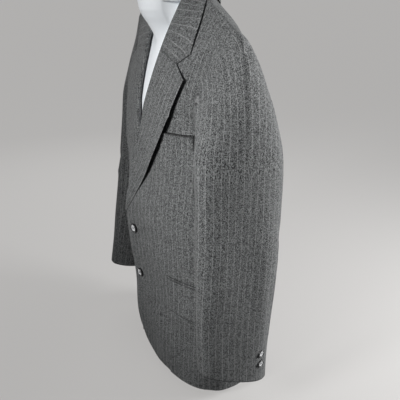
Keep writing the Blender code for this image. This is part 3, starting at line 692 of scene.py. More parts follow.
def arm_grain(degrees, along, side, middle):
    """The same over a sleeve, from its outermost or innermost line."""
    turn, rows = np.linspace(-180, 250, 431), np.linspace(0, 2, 121)
    outermost = np.flatnonzero(turn == 0)
    round_it, up = arc_table(lambda d, n: sleeve(d, n, side), turn, rows)
    round_it -= round_it[:, outermost]
    out = side * sleeve(turn[None, :], rows[:, None], side)[..., 0]
    biceps = len(rows) // 2
    lean = CAP_SLANT * (out - out[biceps])
    lean *= np.clip((180 - np.abs((turn + 180) % 360 - 180)) / 90, 0, 1)
    share = np.clip((1 - rows[:, None]) / CAP_EASE, 0, 1)
    round_it += (3 - 2 * share) * share**2 * (round_it[biceps] + lean - round_it)
    across = look_up(round_it, turn, rows, degrees, along)
    start = look_up(round_it, turn, rows, np.full_like(degrees, middle), along)
    tall = look_up(up, turn, rows, degrees, along)
    level = look_up(up, turn, rows, degrees, np.ones_like(along))
    return np.stack([across - start, level - tall], -1)


SIDES = {"bottom": (0, False), "top": (0, True), "left": (1, False), "right": (1, True)}


def walked(points, axis):
    """Distance along the grid's lines from their start."""
    steps = np.linalg.norm(np.diff(points, axis=axis), axis=-1)
    return np.concatenate([np.zeros_like(np.take(steps, [0], axis)), np.cumsum(steps, axis)], axis)


def from_sides(points, sides):
    """Distance of each point from the nearest of these sides, and its place along that side."""
    near = np.full(points.shape[:2], 1.0)
    along = np.zeros(points.shape[:2])
    for side in sides:
        axis, last = SIDES[side]
        way = walked(points, axis)
        way = np.take(way, [-1], axis) - way if last else way
        along = np.where(way < near, walked(points, 1 - axis), along)
        near = np.minimum(way, near)
    return np.stack([near, along], -1)


# ---------------------------------------------------------------- meshes


def new_object(name, shape, surface):
    """An object of a mesh or a curve, with its material, in the scene."""
    shape.materials.append(surface)
    made = bpy.data.objects.new(name, shape)
    bpy.context.scene.collection.objects.link(made)
    return made


def normals(points):
    """The directions that a grid of points faces."""
    return unit(np.cross(np.gradient(points, axis=1), np.gradient(points, axis=0)))


RIM_TURNS = (45, 90, 135)  # degrees round a wall's free side


def cloth_shell(name, points, grain, free, wall, surface, side=1, turned=()):
    """A closed cloth wall over a grid of points: rounded at its free sides, flat at its seams.
    The edge map is measured from the turned sides, or else from the free ones."""
    rows, columns = points.shape[:2]
    normal = side * normals(points)
    edge = from_sides(points, turned or free)
    index = np.arange(rows * columns).reshape(rows, columns)
    loop = np.concatenate(
        [index[0, :-1], index[:-1, -1], index[-1, :0:-1], index[:0:-1, 0]]
    )
    out = np.zeros_like(points)
    bulge = np.zeros((rows, columns))
    for word, (axis, last) in SIDES.items():
        view, runs = (np.swapaxes(a, 0, axis) for a in (out, points))
        pushed = np.swapaxes(bulge, 0, axis)
        end, inner = (-1, -2) if last else (0, 1)
        view[end] += unit(runs[end] - runs[inner])
        if word in free:
            pushed[end] = 1
    flat = points.reshape(-1, 3)
    n, o = normal.reshape(-1, 3), out.reshape(-1, 3)[loop]
    tangent = np.roll(flat[loop], -1, 0) - np.roll(flat[loop], 1, 0)
    away = unit(np.cross(tangent, n[loop]))
    away *= np.sign((away * o).sum(-1, keepdims=True) + 1e-12)
    # a corner points half way between its neighbours
    for corner in np.cumsum([0, columns - 1, rows - 1, columns - 1]):
        away[corner] = unit(away[corner - 1] + away[corner + 1])
    away *= bulge.reshape(-1)[loop][:, None]
    half = wall / 2
    rims = []
    for turn in RIM_TURNS:
        c, s = math.cos(math.radians(turn)), math.sin(math.radians(turn))
        rims.append(flat[loop] + half * (c * n[loop] + s * away))
    # each side's points, then the rims': bands of faces join the one side to the other
    count, around = rows * columns, len(loop)
    verts = np.concatenate([flat + half * n, flat - half * n, *rims])
    maps = {
        word: np.concatenate([places] * 2 + [places[loop]] * len(rims))
        for word, places in (("grain", grain.reshape(-1, 2)), ("edge", edge.reshape(-1, 2)))
    }
    quads = np.stack([index[:-1, :-1], index[:-1, 1:], index[1:, 1:], index[1:, :-1]], -1)
    quads = quads.reshape(-1, 4)
    rounds = (2 * count + k * around + np.arange(around) for k in range(len(rims)))
    chain = [loop, *rounds, count + loop]
    bands = [
        np.stack([low, high, np.roll(high, -1), np.roll(low, -1)], -1)
        for low, high in zip(chain[:-1], chain[1:])
    ]
    faces = np.concatenate([quads, quads[:, ::-1] + count, *bands])
    if side < 0:
        faces = faces[:, ::-1]
    mesh = bpy.data.meshes.new(name)
    mesh.from_pydata(verts.tolist(), [], faces.tolist())
    corners = np.zeros(len(mesh.loops), np.int32)
    mesh.loops.foreach_get("vertex_index", corners)
    for word, values in maps.items():
        mesh.uv_layers.new(name=word).data.foreach_set("uv", values[corners].ravel())
    mesh.shade_smooth()
    return new_object(name, mesh, surface)


SEAM_LINES = (0.25, 0.55)  # two more lines in the step next to a seam
SEAM_WIDTH = 0.0013  # a seam's groove
SEAM_SWELL = (0.0045, 0.003, 0.25)  # the pressed allowance beside it: place, width, rise


def lines(count, seams=(False, False)):
    """Shares from 0 to 1, closer together next to a seam."""
    at = np.linspace(0, 1, count)
    steps = at[1] * np.array(SEAM_LINES)
    extra = (steps if seams[0] else [], 1 - steps if seams[1] else [])
    return np.sort(np.concatenate([at, *extra]))


def dips(points, seams, depth):
    """How far the cloth is drawn in along its seams."""
    near = from_sides(points, seams)[..., 0]
    inset, width, share = SEAM_SWELL
    swell = share * depth * np.exp(-(((near - inset) / width) ** 2))
    return -depth * np.exp(-((near / SEAM_WIDTH) ** 2)) + swell


# ---------------------------------------------------------------- the cut pieces as grids


FRONT_GRID = (66, 110, 50)  # columns, rows below the armhole's front and rows beside it
FRONT_CROWD = (1.4, 1.7)  # powers that crowd them to the front edge and to the hem
SIDE_GRID = (40, 120)
BACK_GRID = (28, 100, 50)
NECK_SHARE = 0.70  # of the back's width that lies under the shoulder seam
NECK_CROWD = 1.4
CENTRE_LINES = 0.02 * np.array([1.0, 0.4])  # two more columns beside the centre-back seam


def front_places(edge_rounds=12, roll_rounds=30):
    """Degrees and level over a front: rows go up, columns go from the edge to the armhole."""
    columns, low_rows, high_rows = FRONT_GRID
    across = lines(columns, (False, True)) ** FRONT_CROWD[0]
    rows = []
    for share in np.linspace(0, 1, low_rows) ** FRONT_CROWD[1]:
        left = np.array(20.0)
        for _ in range(edge_rounds):
            z = blend(hem(left), ARMHOLE_FRONT_Z, share)
            left = at_x(edge_x(z), z / CHEST)
        degrees = blend(left, FRONT_SEAM, across)
        rows.append((degrees, blend(hem(degrees), ARMHOLE_FRONT_Z, share) / CHEST))
    for share in lines(high_rows, (False, True))[1:]:
        level = blend(ARMHOLE_FRONT_Z / CHEST, 2.0, share)
        z = np.array(CHEST)
        for _ in range(roll_rounds):
            z = 0.5 * z + 0.5 * torso(at_x(roll_x(z), level), level)[2]
        left = at_x(roll_x(z), level)
        right = read(ARMHOLE, level)[..., 0]
        rows.append((blend(left, right, across), np.full(len(across), level)))
    return stacked(rows)


def stacked(rows):
    """Pairs of rows as a pair of grids."""
    return tuple(np.array(values) for values in zip(*rows))


def side_places():
    """Degrees and level over a side panel."""
    columns, rows = SIDE_GRID
    degrees = blend(FRONT_SEAM, BACK_SEAM, lines(columns, (True, True)))[None, :]
    height = blend(hem(degrees), armhole_low(degrees), lines(rows, (False, True))[:, None])
    return degrees + 0 * height, height / CHEST


def back_places():
    """Degrees and level over half the back: half its columns lie under the neckline."""
    columns, low_rows, high_rows = BACK_GRID
    shoulder = blend(0, NECK_SHARE, lines(columns, (True, False)))
    past = np.linspace(0, 1, columns)[1:-1] ** NECK_CROWD
    neck = NECK_SHARE + (1 - NECK_SHARE) * past
    centre = 1 - (1 - NECK_SHARE) * CENTRE_LINES
    across = np.sort(np.concatenate([shoulder, neck, centre, [1.0]]))
    rows = []
    for share in np.linspace(0, 1, low_rows):
        degrees = blend(BACK_SEAM, 180.0, across)
        rows.append((degrees, blend(hem(degrees), ARMHOLE_BACK_Z, share) / CHEST))
    start = ARMHOLE_BACK_Z / CHEST
    for share in lines(high_rows, (False, True))[1:]:
        left = read(ARMHOLE, blend(start, 2.0, share))[..., 1]
        degrees = blend(left, 180.0, across)
        rows.append((degrees, blend(start, neckline_level(degrees), share)))
    return stacked(rows)


def body_out(degrees, level, side, cloth):
    """How far a body piece stands out there: its folds, fading to the shoulder and the roll."""
    x, _, z = np.moveaxis(torso(degrees, level), -1, 0)
    fade, bend = FOLD_FADE
    start, width, left = ROLL_CALM
    calm = np.clip((2 - level) / fade, 0, 1) ** bend
    calm = calm * np.clip((x - roll_x(z) - start) / width, left, 1)
    return cloth.fold_size * calm * folded(BODY_FOLDS, side * degrees, z, BODY_REACH)


def body_piece(name, places, side, middle, seams, cloth, surface):
    """A front, side panel or half back, with its folds and its grain from the middle's line."""
    degrees, level = places
    base = torso(side * degrees, level)
    out = body_out(degrees, level, side, cloth) + dips(base, seams, cloth.seam_dip)
    if name == "front":
        out = out + lap_rise(base[..., 0] * side, base[..., 2], side)
    points = skin(side * degrees, level, out)
    free = [word for word in SIDES if word not in seams]
    grain = body_grain(degrees, level, middle)
    if name == "front":
        grain[..., 0] -= SHOULDER_BEND[1] * np.maximum(base[..., 2] - SHOULDER_BEND[0], 0) ** 2
    word = "left" if side > 0 else "right"
    return cloth_shell(f"{word}_{name}_cloth", points, grain, free, cloth.wall, surface, side)


ROLL_TURNS = np.arange(-90, 91, 15)
LEG_SHARES = (0.12, 0.085, 0.05)
LAPEL_GRID = (120, 46)
LAPEL_LEAN = 0.92  # power that slants its rows up to the gorge
ROLL_EASE = 0.25  # share of the lapel in which its roll opens
LIFT_FROM, LIFT_OVER = 0.05, 0.45  # shares of the lapel in which its edge lifts
LIFT_END = 0.3  # share of the lift that is gone at the notch
LAPEL_WAVE = (0.0006, 9, 3)  # rise, and pace along and across
LAPEL_BELLY = 0.0012
BELLY_EASE = 0.2  # share of the lapel in which it starts to belly
ASIDE_STEP = 0.05  # share of a row that gives the direction across the roll


def lapel_points(side):
    """The lapel: each row goes up the inner leg, round the roll and out to the edge."""
    rows, outs = LAPEL_GRID
    u = np.linspace(0, 1, rows)
    z_roll = blend(BREAK_Z, GORGE[0][1], u)
    z_edge = blend(BREAK_Z, GORGE[1][1], u**LAPEL_LEAN)
    inner = np.stack([roll_x(z_roll), z_roll], -1)
    outer = np.stack([read(LAPEL_EDGE, z_edge)[..., 0], z_edge], -1)
    radius = blend(BREAK_R, ROLL_R, np.clip(u / ROLL_EASE, 0, 1))

    def spot_of(at, out):
        return front_spot(at[:, 0], at[:, 1], out, side)

    faces = [spot_of(blend(inner, outer, share), -radius) for share in LEG_SHARES]
    roll = spot_of(inner, 0 * radius)
    normal = unit(spot_of(inner, 0 * radius + NORMAL_STEP) - roll)
    aside = unit(spot_of(blend(inner, outer, ASIDE_STEP), 0 * radius) - roll)
    faces += rolled(roll, normal, aside, radius[:, None])
    rise = np.clip((u - LIFT_FROM) / LIFT_OVER, 0, 1)
    lift = LAPEL_LIFT * (3 - 2 * rise) * rise**2 * (1 - LIFT_END * u**6)
    notch_at = (NOTCH[0] - inner[-1, 0]) / (outer[-1, 0] - inner[-1, 0])
    straight = blend(inner[-1, 1], outer[-1, 1], notch_at)
    bend = (NOTCH[1] - straight) * np.clip((u - NOTCH_FROM) / (1 - NOTCH_FROM), 0, 1)
    swell, pace, slant = LAPEL_WAVE
    for share in np.linspace(0, 1, outs)[1:]:
        spot = blend(inner, outer, share)
        spot[:, 1] += bend * min(share / notch_at, (1 - share) / (1 - notch_at))
        wave = swell * np.sin(pace * u + slant * share) * share
        belly = LAPEL_BELLY * math.sin(math.pi * share) * np.clip(u / BELLY_EASE, 0, 1)
        faces.append(spot_of(spot, radius + lift * share ** (2 + 3 * u**4) + wave + belly))
    return np.stack(faces, 1)


def rolled(roll, normal, aside, radius):
    """The rows of a roll, from its inner side over its top to its outer side."""
    turns = np.radians(ROLL_TURNS)
    return [roll + (normal * math.sin(a) - aside * math.cos(a)) * radius for a in turns]


def notch_line(shares):
    """The collar's front end, from the roll line down the gorge and up to the collar's tip."""
    start = np.array([roll_x(GORGE[0][1]), GORGE[0][1]])
    corner, end = np.array(NOTCH), np.array(COLLAR_TIP)
    spots = [
        blend(start, corner, share / NOTCH_SHARE)
        if share <= NOTCH_SHARE
        else blend(corner, end, (share - NOTCH_SHARE) / (1 - NOTCH_SHARE))
        for share in shares
    ]
    x, z = np.array(spots).T
    return skin(*locate(x, z), np.full(len(x), ROLL_R))


def collar_line(along):
    """The collar's seam as x and over: the roll line to the shoulder, then round the back."""
    x, over = np.moveaxis(read(COLLAR, along), -1, 0)[:2]
    front = along < COLLAR[2][0]
    z = blend(GORGE[0][1], NECK_Z, np.minimum(along / COLLAR[2][0], 1))
    level = locate(roll_x(z), z)[1]
    return np.where(front, roll_x(z), x), np.where(front, level - 2, over)


COLLAR_GRID = (90, 40)
COLLAR_CROWD = 1.1
STAND_SHARES = (0, 0.3, 0.65)
STAND_EASE = 0.3  # share of the collar in which its stand leaves the lapel's roll
FALL_LIFT = 0.0040  # the fall's edge above the cloth
FALL_BULGE = 0.006
END_FADE = 0.13  # share in which the collar takes over from the lapel's end


def collar_points():
    """The whole collar, from its left front end round the back to its right one."""
    rows, outs = COLLAR_GRID
    along = np.linspace(0, 1, rows) ** COLLAR_CROWD
    fall_x, fall_over, height, lean = np.moveaxis(read(COLLAR, along), -1, 0)[2:]
    neck_x, neck_over = collar_line(along)
    flat = np.zeros(len(along))
    base = over_skin(neck_x, neck_over, flat)
    inward = unit([0, 0.01, 0] - base * [1, 1, 0])
    depth = blend(ROLL_R, FOOT_R, np.clip(along / STAND_EASE, 0, 1))
    foot = over_skin(neck_x, neck_over, flat - depth)
    roll = base + np.array([0, 0, 1.0]) * height[:, None] + inward * lean[:, None]
    edge = over_skin(fall_x, fall_over, flat + FALL_LIFT)
    aside = unit(edge - roll)
    normal = unit(np.cross(unit(np.gradient(roll, axis=0)), aside))
    normal *= np.sign((normal * -inward).sum(-1, keepdims=True) + 1e-9)
    inner = roll - normal * ROLL_R
    faces = [blend(foot, inner, share) for share in STAND_SHARES]
    faces += rolled(roll, normal, aside, ROLL_R)
    outer = roll + normal * ROLL_R
    full = (height / height[-1])[:, None]
    shares = np.linspace(0, 1, outs)[1:]
    for share in shares:
        bulge = normal * (FALL_BULGE * math.sin(math.pi * share)) * full
        faces.append(blend(outer, edge, share) + bulge)
    points = np.stack(faces, 1)
    past_roll = len(LEG_SHARES) + len(ROLL_TURNS)
    front = np.concatenate([lapel_points(1)[-1, :past_roll], notch_line(shares)])
    fade = np.clip(1 - along / END_FADE, 0, 1)[:, None, None] ** 2
    half = points + (front - points[0]) * fade
    return np.concatenate([half, half[-2::-1] * [-1, 1, 1]])


def patch_places(degrees, heights, slope, columns, rows):
    """A pocket piece over the body: its outer end is higher by the slope."""
    across = np.linspace(0, 1, columns)[None, :]
    height = blend(*heights, np.linspace(0, 1, rows)[:, None]) + slope * across
    return blend(*degrees, across) + 0 * height, height / CHEST


# ---------------------------------------------------------------- materials


def linear(text):
    """An sRGB hex colour as linear red, green, blue and alpha."""
    channels = (int(text[i : i + 2], 16) / 255 for i in (0, 2, 4))
    return (*(c / 12.92 if c <= 0.04045 else ((c + 0.055) / 1.055) ** 2.4 for c in channels), 1)


def put(tree, kind, settings=(), **sockets):
    """Adds a node with its settings, and gives its sockets a value or a link."""
    made = tree.nodes.new(kind)
    for name, value in dict(settings).items():
        setattr(made, name, value)
    for key, value in sockets.items():
        key = int(key[1:]) if key[0] == "_" else key.replace("_", " ")
        if isinstance(value, bpy.types.NodeSocket):
            tree.links.new(value, made.inputs[key])
        else:
            made.inputs[key].default_value = value
    return made


def new_material(name, roughness, **sockets):
    """A material with its sockets' values, its nodes and its shader."""
    made = bpy.data.materials.new(name)
    made.use_nodes = True
    tree = made.node_tree
    shader = tree.nodes["Principled BSDF"]
    shader.inputs["Roughness"].default_value = roughness
    for key, value in sockets.items():
        shader.inputs[key.replace("_", " ")].default_value = value
    return made, tree, shader


def sums(tree, operation, *values):
    """A chain of the same sum over values and links."""
    total = values[0]
    for value in values[1:]:
        total = put(tree, "ShaderNodeMath", {"operation": operation}, _0=total, _1=value).outputs[0]
    return total


def ramp(tree, value, low, high, start=0.0, end=1.0):
    """A smooth step of a value."""
    return put(
        tree, "ShaderNodeMapRange", {"interpolation_type": "SMOOTHSTEP"}, Value=value,
        From_Min=low, From_Max=high, To_Min=start, To_Max=end,
    ).outputs[0]


def mixed(tree, share, low, high):
    """A colour between two, each a hex text or a link."""
    low, high = (linear(tone) if isinstance(tone, str) else tone for tone in (low, high))
    return put(
        tree, "ShaderNodeMix", {"data_type": "RGBA"}, _0=share, _6=low, _7=high
    ).outputs[2]


def noise(tree, place, scale, detail, flat=False, **sockets):
    """A cloudy shade from 0 to 1, with so many clouds a metre."""
    settings = {"noise_dimensions": "2D" if flat else "3D"}
    return put(
        tree, "ShaderNodeTexNoise", settings, Vector=place, Scale=scale, Detail=detail, **sockets
    ).outputs[0]


def slanted(tree, place, scale):
    """Slanted ribs from 0 to 1, 0.44 / scale metres apart."""
    return put(
        tree, "ShaderNodeTexWave", {"bands_direction": "DIAGONAL"}, Vector=place, Scale=scale
    ).outputs[1]


def scaled(tree, vector, scale):
    """A vector or colour times a number or link."""
    return put(
        tree, "ShaderNodeVectorMath", {"operation": "SCALE"}, _0=vector, Scale=scale
    ).outputs[0]


def cells(tree, place):
    """A shade from 0 to 1 of its own for each whole cell of a place."""
    cell = put(tree, "ShaderNodeVectorMath", {"operation": "FLOOR"}, _0=place).outputs[0]
    return put(
        tree, "ShaderNodeTexWhiteNoise", {"noise_dimensions": "2D"}, Vector=cell
    ).outputs[0]


def folded_back(tree, value, length):
    """A value that runs up to a length and back down, over and over."""
    return put(
        tree, "ShaderNodeMath", {"operation": "PINGPONG"}, _0=value, _1=length
    ).outputs[0]


def weighted(tree, pairs, *more):
    """A sum of values, each times its weight, and of more values."""
    return sums(tree, "ADD", *(sums(tree, "MULTIPLY", *pair) for pair in pairs), *more)


def own_place(tree):
    """The place on the object, in metres."""
    return put(tree, "ShaderNodeTexCoord").outputs["Object"]


def map_of(tree, name):
    """The place on one of the cloth's maps, in metres."""
    return put(tree, "ShaderNodeUVMap", {"uv_map": name}).outputs[0]


def dress(tree, shader, height=None, strength=0.0, depth=0.0, **sockets):
    """Links a shader's sockets and its relief, a height from 0 to 1 times a depth in metres."""
    if height is not None:
        sockets["Normal"] = put(
            tree, "ShaderNodeBump", Strength=strength, Distance=depth, Height=height
        ).outputs[0]
    for key, value in sockets.items():
        tree.links.new(value, shader.inputs[key.replace("_", " ")])


WIDE_YARN = 0.58  # a second, wider yarn's threads for each of the first's
CLUMPS = 420.0  # fibre clumps a metre, 2.4 mm apart
STREAKS = (1 / 0.0026, 8.0)  # a metre across and along: uneven warp ends, 2.6 mm wide
PATCHES = 14.0  # slow patches a metre
TWILL = 110.0  # slanted lines 4 mm apart: the real half millimetre is too fine to show
YARN_SHIFT = -0.47
YARNS = (0.1, 0.7, 0.25, 0.75)  # a stripe is broken by its yarns: their shades, its strength
TONE = (0.16, 0.92)  # share of the slow patches, and the tone without them
FINISH = (0.95, 0.80)  # roughness of the dark and the light yarns
WEAVE_DEPTH = 0.0003
STRIPE_FADE = (0.3, 0.8)  # a stripe's core and outer side, as shares of its width
EDGE_CORE = 0.2  # share of a worn edge that is worn evenly
STITCH_INSET = 0.006  # pick stitches inside the free edges
STITCH_HALF_PITCH = 0.003
STITCH_WIDTH = (0.0003, 0.0009)
STITCH_LENGTH = (0.0006, 0.0014)


def worsted(cloth, name, edge_tone, edge_width):
    """Wool worsted suiting, woven as sharkskin with pinstripes: dark and light yarns side by
    side give the eye a salt-and-pepper grey, each stripe is a broken line of lighter yarn, and
    the pressed finish leaves a faint bloom and no gloss. The real yarns are a third of a
    millimetre apart, which is too fine to show, so they are drawn at 1.1 mm."""
    made, tree, shader = new_material(
        name, 0.88, Sheen_Weight=0.12, Sheen_Roughness=0.5, Specular_IOR_Level=0.22
    )
    grain, edge = map_of(tree, "grain"), map_of(tree, "edge")
    u, v = put(tree, "ShaderNodeSeparateXYZ", _0=grain).outputs[:2]
    near, along = put(tree, "ShaderNodeSeparateXYZ", _0=edge).outputs[:2]

    threads = scaled(tree, grain, 1 / cloth.thread)
    speck, fleck = cells(tree, threads), cells(tree, scaled(tree, threads, WIDE_YARN))
    finer = noise(tree, grain, CLUMPS, 2.0, True)
    warp = put(
        tree, "ShaderNodeCombineXYZ", X=sums(tree, "MULTIPLY", u, STREAKS[0]),
        Y=sums(tree, "MULTIPLY", v, STREAKS[1]),
    ).outputs[0]
    streak = noise(tree, warp, 1.0, 1.0, True)
    cloudy = noise(tree, grain, PATCHES, 3.0, True)
    shades = ((speck, 1.00), (fleck, 0.30), (finer, 0.25), (streak, 0.25))
    yarn = weighted(tree, shades, YARN_SHIFT)
    base = mixed(tree, yarn, cloth.dark, cloth.light)

    gap = folded_back(tree, u, cloth.stripe_gap / 2)
    core, side = (share * cloth.stripe_width for share in STRIPE_FADE)
    line = ramp(tree, gap, core, side, 1.0, 0.0)
    line = sums(tree, "MULTIPLY", line, ramp(tree, speck, *YARNS))
    striped = mixed(tree, line, base, cloth.stripe)

    # wear and painted shade: a pressed edge is rubbed a little lighter, and the turned edge of a
    # pocket piece or cuff is drawn darker as painted shade
    worn = ramp(tree, near, EDGE_CORE * edge_width, edge_width, edge_tone, 0.0)
    patches, plain = TONE
    shade = scaled(tree, striped, weighted(tree, ((cloudy, patches),), plain, worn))

    beside = put(
        tree, "ShaderNodeMath", {"operation": "SUBTRACT"}, _0=near, _1=STITCH_INSET
    ).outputs[0]
    beside = put(tree, "ShaderNodeMath", {"operation": "ABSOLUTE"}, _0=beside).outputs[0]
    every = folded_back(tree, along, STITCH_HALF_PITCH)
    pick = sums(
        tree, "MULTIPLY", ramp(tree, beside, *STITCH_WIDTH, 1.0, 0.0),
        ramp(tree, every, *STITCH_LENGTH, 1.0, 0.0),
    )
    twill = slanted(tree, grain, TWILL)
    reliefs = ((speck, 0.45), (twill, 0.35), (finer, 0.4), (pick, -1.6), (line, 0.5))
    dress(
        tree, shader, weighted(tree, reliefs), 0.55, WEAVE_DEPTH, Base_Color=shade,
        Roughness=ramp(tree, yarn, 0.0, 1.0, *FINISH),
    )
    return made


def pocket_mouth_shade():
    """A black twill with no gloss, laid in a pocket's mouth as painted shade: it gives the dark
    line where the slit lies in shade. Its twill is drawn 1.5 mm apart, as a real one is too fine to
    show."""
    made, tree, shader = new_material("Black twill, painted shade of a pocket mouth", 0.95)
    ribs = slanted(tree, map_of(tree, "grain"), 300.0)
    dress(tree, shader, ribs, 0.4, 0.0002, Base_Color=mixed(tree, ribs, "050505", "141414"))
    return made


def pearl(trim):
    """Trocas shell, turned and polished: it gives the eye a bright silver with slow bands of
    nacre 4 mm apart, under a clear polish."""
    made, tree, shader = new_material(
        "Trocas shell, turned and polished", 0.18, Metallic=0.35, Coat_Weight=0.8,
        Coat_Roughness=0.05,
    )
    bands = noise(tree, own_place(tree), 260.0, 3.0, Distortion=1.5)
    dress(
        tree, shader, bands, 0.2, 0.0001, Base_Color=mixed(tree, bands, trim.pearl, "F4F6F8"),
        Roughness=ramp(tree, bands, 0.2, 0.8, 0.12, 0.3),
    )
    return made


def horn(trim):
    """Black polyester, cast and tumbled: a soft gloss that shows a thin bright line on the rim,
    broken by a mottle of 1 mm."""
    made, tree, shader = new_material("Polyester resin, cast and tumbled", 0.3, IOR=1.55)
    mottle = noise(tree, own_place(tree), 900.0, 2.0)
    dress(
        tree, shader, Base_Color=mixed(tree, mottle, trim.rim, "2A2A2C"),
        Roughness=ramp(tree, mottle, 0.3, 0.7, 0.22, 0.4),
    )
    return made


def thread(name, colour):
    """Spun polyester sewing thread: matt, with the twist of its plies as slanted bars. They are
    drawn 0.6 mm apart, as the real twist is too fine to show."""
    made, tree, shader = new_material(name, 0.8, Sheen_Weight=0.1)
    plies = slanted(tree, own_place(tree), 700.0)
    tint = mixed(tree, 0.25, colour, mixed(tree, plies, colour, "8E8E90"))
    dress(tree, shader, plies, 0.4, 0.0001, Base_Color=tint)
    return made


def form_plastic(trim):
    """High-density polyethylene, blow-moulded: a white satin skin with an orange peel 3 mm
    apart that shows only at a glancing light."""
    made, tree, shader = new_material(
        "High-density polyethylene, blow-moulded", 0.42, IOR=1.54, Subsurface_Weight=0.06,
        Subsurface_Scale=0.01, Subsurface_Radius=(1.0, 1.0, 1.0),
    )
    here = own_place(tree)
    peel, slow = noise(tree, here, 320.0, 2.0), noise(tree, here, 9.0, 3.0)
    height = sums(tree, "ADD", peel, sums(tree, "MULTIPLY", slow, 4.0))
    dress(
        tree, shader, height, 0.25, 0.0002, Base_Color=mixed(tree, slow, trim.form, "F8F9FA"),
        Roughness=ramp(tree, slow, 0.3, 0.7, 0.36, 0.5),
    )
    return made


def paper(colour):
    """Matt paper sweep: even and pale, with a glow that evens its shadows and a faint tooth,
    drawn 17 mm apart as the real one is too fine to show."""
    made, tree, shader = new_material(
        "Background paper, matt", 0.95, Base_Color=linear(colour), Emission_Color=linear(colour),
        Emission_Strength=FLOOR_GLOW,
    )
    dress(tree, shader, noise(tree, own_place(tree), 60.0, 4.0), 0.05, 0.0003)
    return made


MADE = {}


def kept(name, make, *values):
    """A material that is made once and used by every piece of that cloth or plastic."""
    if name not in MADE:
        MADE[name] = make(*values)
    return MADE[name]


# ---------------------------------------------------------------- placing


def place(piece, node, slot, cut=None, rests_on=("torso_form",), held="hung", trim=()):
    """Rides the body and stands for its CAD node. Its cut is not used."""
    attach(piece, "root")
    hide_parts(node)


EDGE_WEAR_AND_SHADE = {
    # cloth: name, how much lighter a worn edge is (above 0) or how much darker its painted shade is
    # (below 0), its width in metres
    "wool": ("Worsted wool, sharkskin weave, pinstriped", 0.10, 0.0030),
    "shaded_edge_wool": ("Worsted wool, sharkskin weave, edges turned and soiled", -0.62, 0.0021),
}


def wool(cloth, kind="wool"):
    """The suiting: the kind with painted shade on its turned edges is for the sleeves and pockets.
    """
    return kept(kind, worsted, cloth, *EDGE_WEAR_AND_SHADE[kind])


class BLAZER_OT_body(bpy.types.Operator):
    """Builds the fronts, the side panels and the back."""

    bl_idname = "blazer.body"
    bl_label = "Fronts, sides and back"

    def execute(self, context):
        cloth = context.scene.blazer_cloth
        pieces = (
            ("front", front_places(), 0.0, ("right", "top")),
            ("side", side_places(), 90.0, ("left", "right", "top")),
            ("back", back_places(), 180.0, ("left", "right", "top")),
        )
        for name, places, middle, seams in pieces:
            for side, word in BOTH:
                made = body_piece(name, places, side, middle, seams, cloth, wool(cloth))
                place(made, f"{word}_{name}", "pinstripe_wool", name)
        return {"FINISHED"}


LAPEL_GRAIN_FROM = 12  # the lapel's grain runs up its twelfth column from the edge
COLLAR_BEND_Z = 0.762  # the stripes at the collar's ends run from the gorge to this height
COLLAR_END = 0.075  # metres of the collar that they take


class BLAZER_OT_collar(bpy.types.Operator):
    """Builds the notch lapels and the collar."""

    bl_idname = "blazer.collar"
    bl_label = "Lapels and collar"

    def execute(self, context):
        cloth = context.scene.blazer_cloth
        for side, word in BOTH:
            points = lapel_points(side)
            across = walked(points, 1)
            up = walked(points, 0)[:, [-LAPEL_GRAIN_FROM]]
            grain = np.stack([across[:, -1:] - across, up + 0 * across], -1)
            made = cloth_shell(
                f"{word}_lapel_cloth", points, grain, ["right"], cloth.wall, wool(cloth), side
            )
            place(made, f"{word}_lapel", "pinstripe_wool", "lapel", (f"{word}_front",), "folded")
        points = collar_points()
        crest = len(LEG_SHARES) + len(ROLL_TURNS) // 2
        round_it = walked(points, 0)[:, [crest]]
        middle = round_it[len(round_it) // 2]
        up = np.abs(round_it - middle)
        way = np.array([COLLAR[1][1] - GORGE[0][0], COLLAR_BEND_Z - GORGE[0][1]])
        way = way / np.hypot(*way)
        flat = np.stack([np.abs(points[..., 0]), points[..., 2]], -1) @ way
        lead = np.clip(1 - (middle - up) / COLLAR_END, 0, 1) ** 1.5
        up = up - lead * (flat - flat[:, [crest]])
        sign = np.sign(round_it - middle + 1e-9)
        grain = np.stack([up * sign, walked(points, 1)], -1)
        made = cloth_shell("collar_cloth", points, grain, ["right"], cloth.wall, wool(cloth))
        place(
            made, "collar", "pinstripe_wool", "collar", ("left_back", "right_back"), "folded"
        )
        return {"FINISHED"}


SLEEVE_ROWS = (46, 90)  # of the sleeve's head and of the rest
HEAD_CALM = 0.14  # share of the head in which the folds grow


class BLAZER_OT_sleeves(bpy.types.Operator):
    """Builds the two-piece sleeves."""

    bl_idname = "blazer.sleeves"
    bl_label = "Sleeves"

    def execute(self, context):
        cloth = context.scene.blazer_cloth
        head, arm = SLEEVE_ROWS
        along = np.concatenate([lines(head, (True, False)), 1 + lines(arm)[1:]])[::-1, None]
        pieces = (
            # name, seams in degrees, columns, degrees of the grain's line
            ("upper_sleeve", (SLEEVE_FRONT_SEAM, SLEEVE_BACK_SEAM), 78, 0.0),
            ("under_sleeve", (SLEEVE_BACK_SEAM, SLEEVE_FRONT_SEAM + 360), 66, 180.0),
        )
        seams = ("left", "right", "top")
        for name, ends, columns, middle in pieces:
            degrees = blend(*ends, lines(columns, (True, True)))[None, :]
            wide, long = (a + 0.0 for a in np.broadcast_arrays(degrees, along))
            for side, word in BOTH:
                base = hung_sleeve(wide, long, side)
                folds = LEFT_SLEEVE_FOLDS if side > 0 else RIGHT_SLEEVE_FOLDS
                calm = np.clip(long / HEAD_CALM, 0, 1)
                out = cloth.fold_size * calm * folded(folds, wide, base[..., 2], ARM_REACH)
                out = out + dips(base, seams, cloth.seam_dip)
                points = base + side * normals(base) * out[..., None]
                grain = arm_grain(wide, long, side, middle)
                # the cuff's turned edge is drawn darker, as painted shade
                surface = wool(cloth, "shaded_edge_wool")
                made = cloth_shell(
                    f"{word}_{name}_cloth", points, grain, ["bottom"], cloth.wall, surface, side
                )
                under = (f"{word}_front", f"{word}_back")
                place(made, f"{word}_{name}", "pinstripe_wool", name, under)
        return {"FINISHED"}


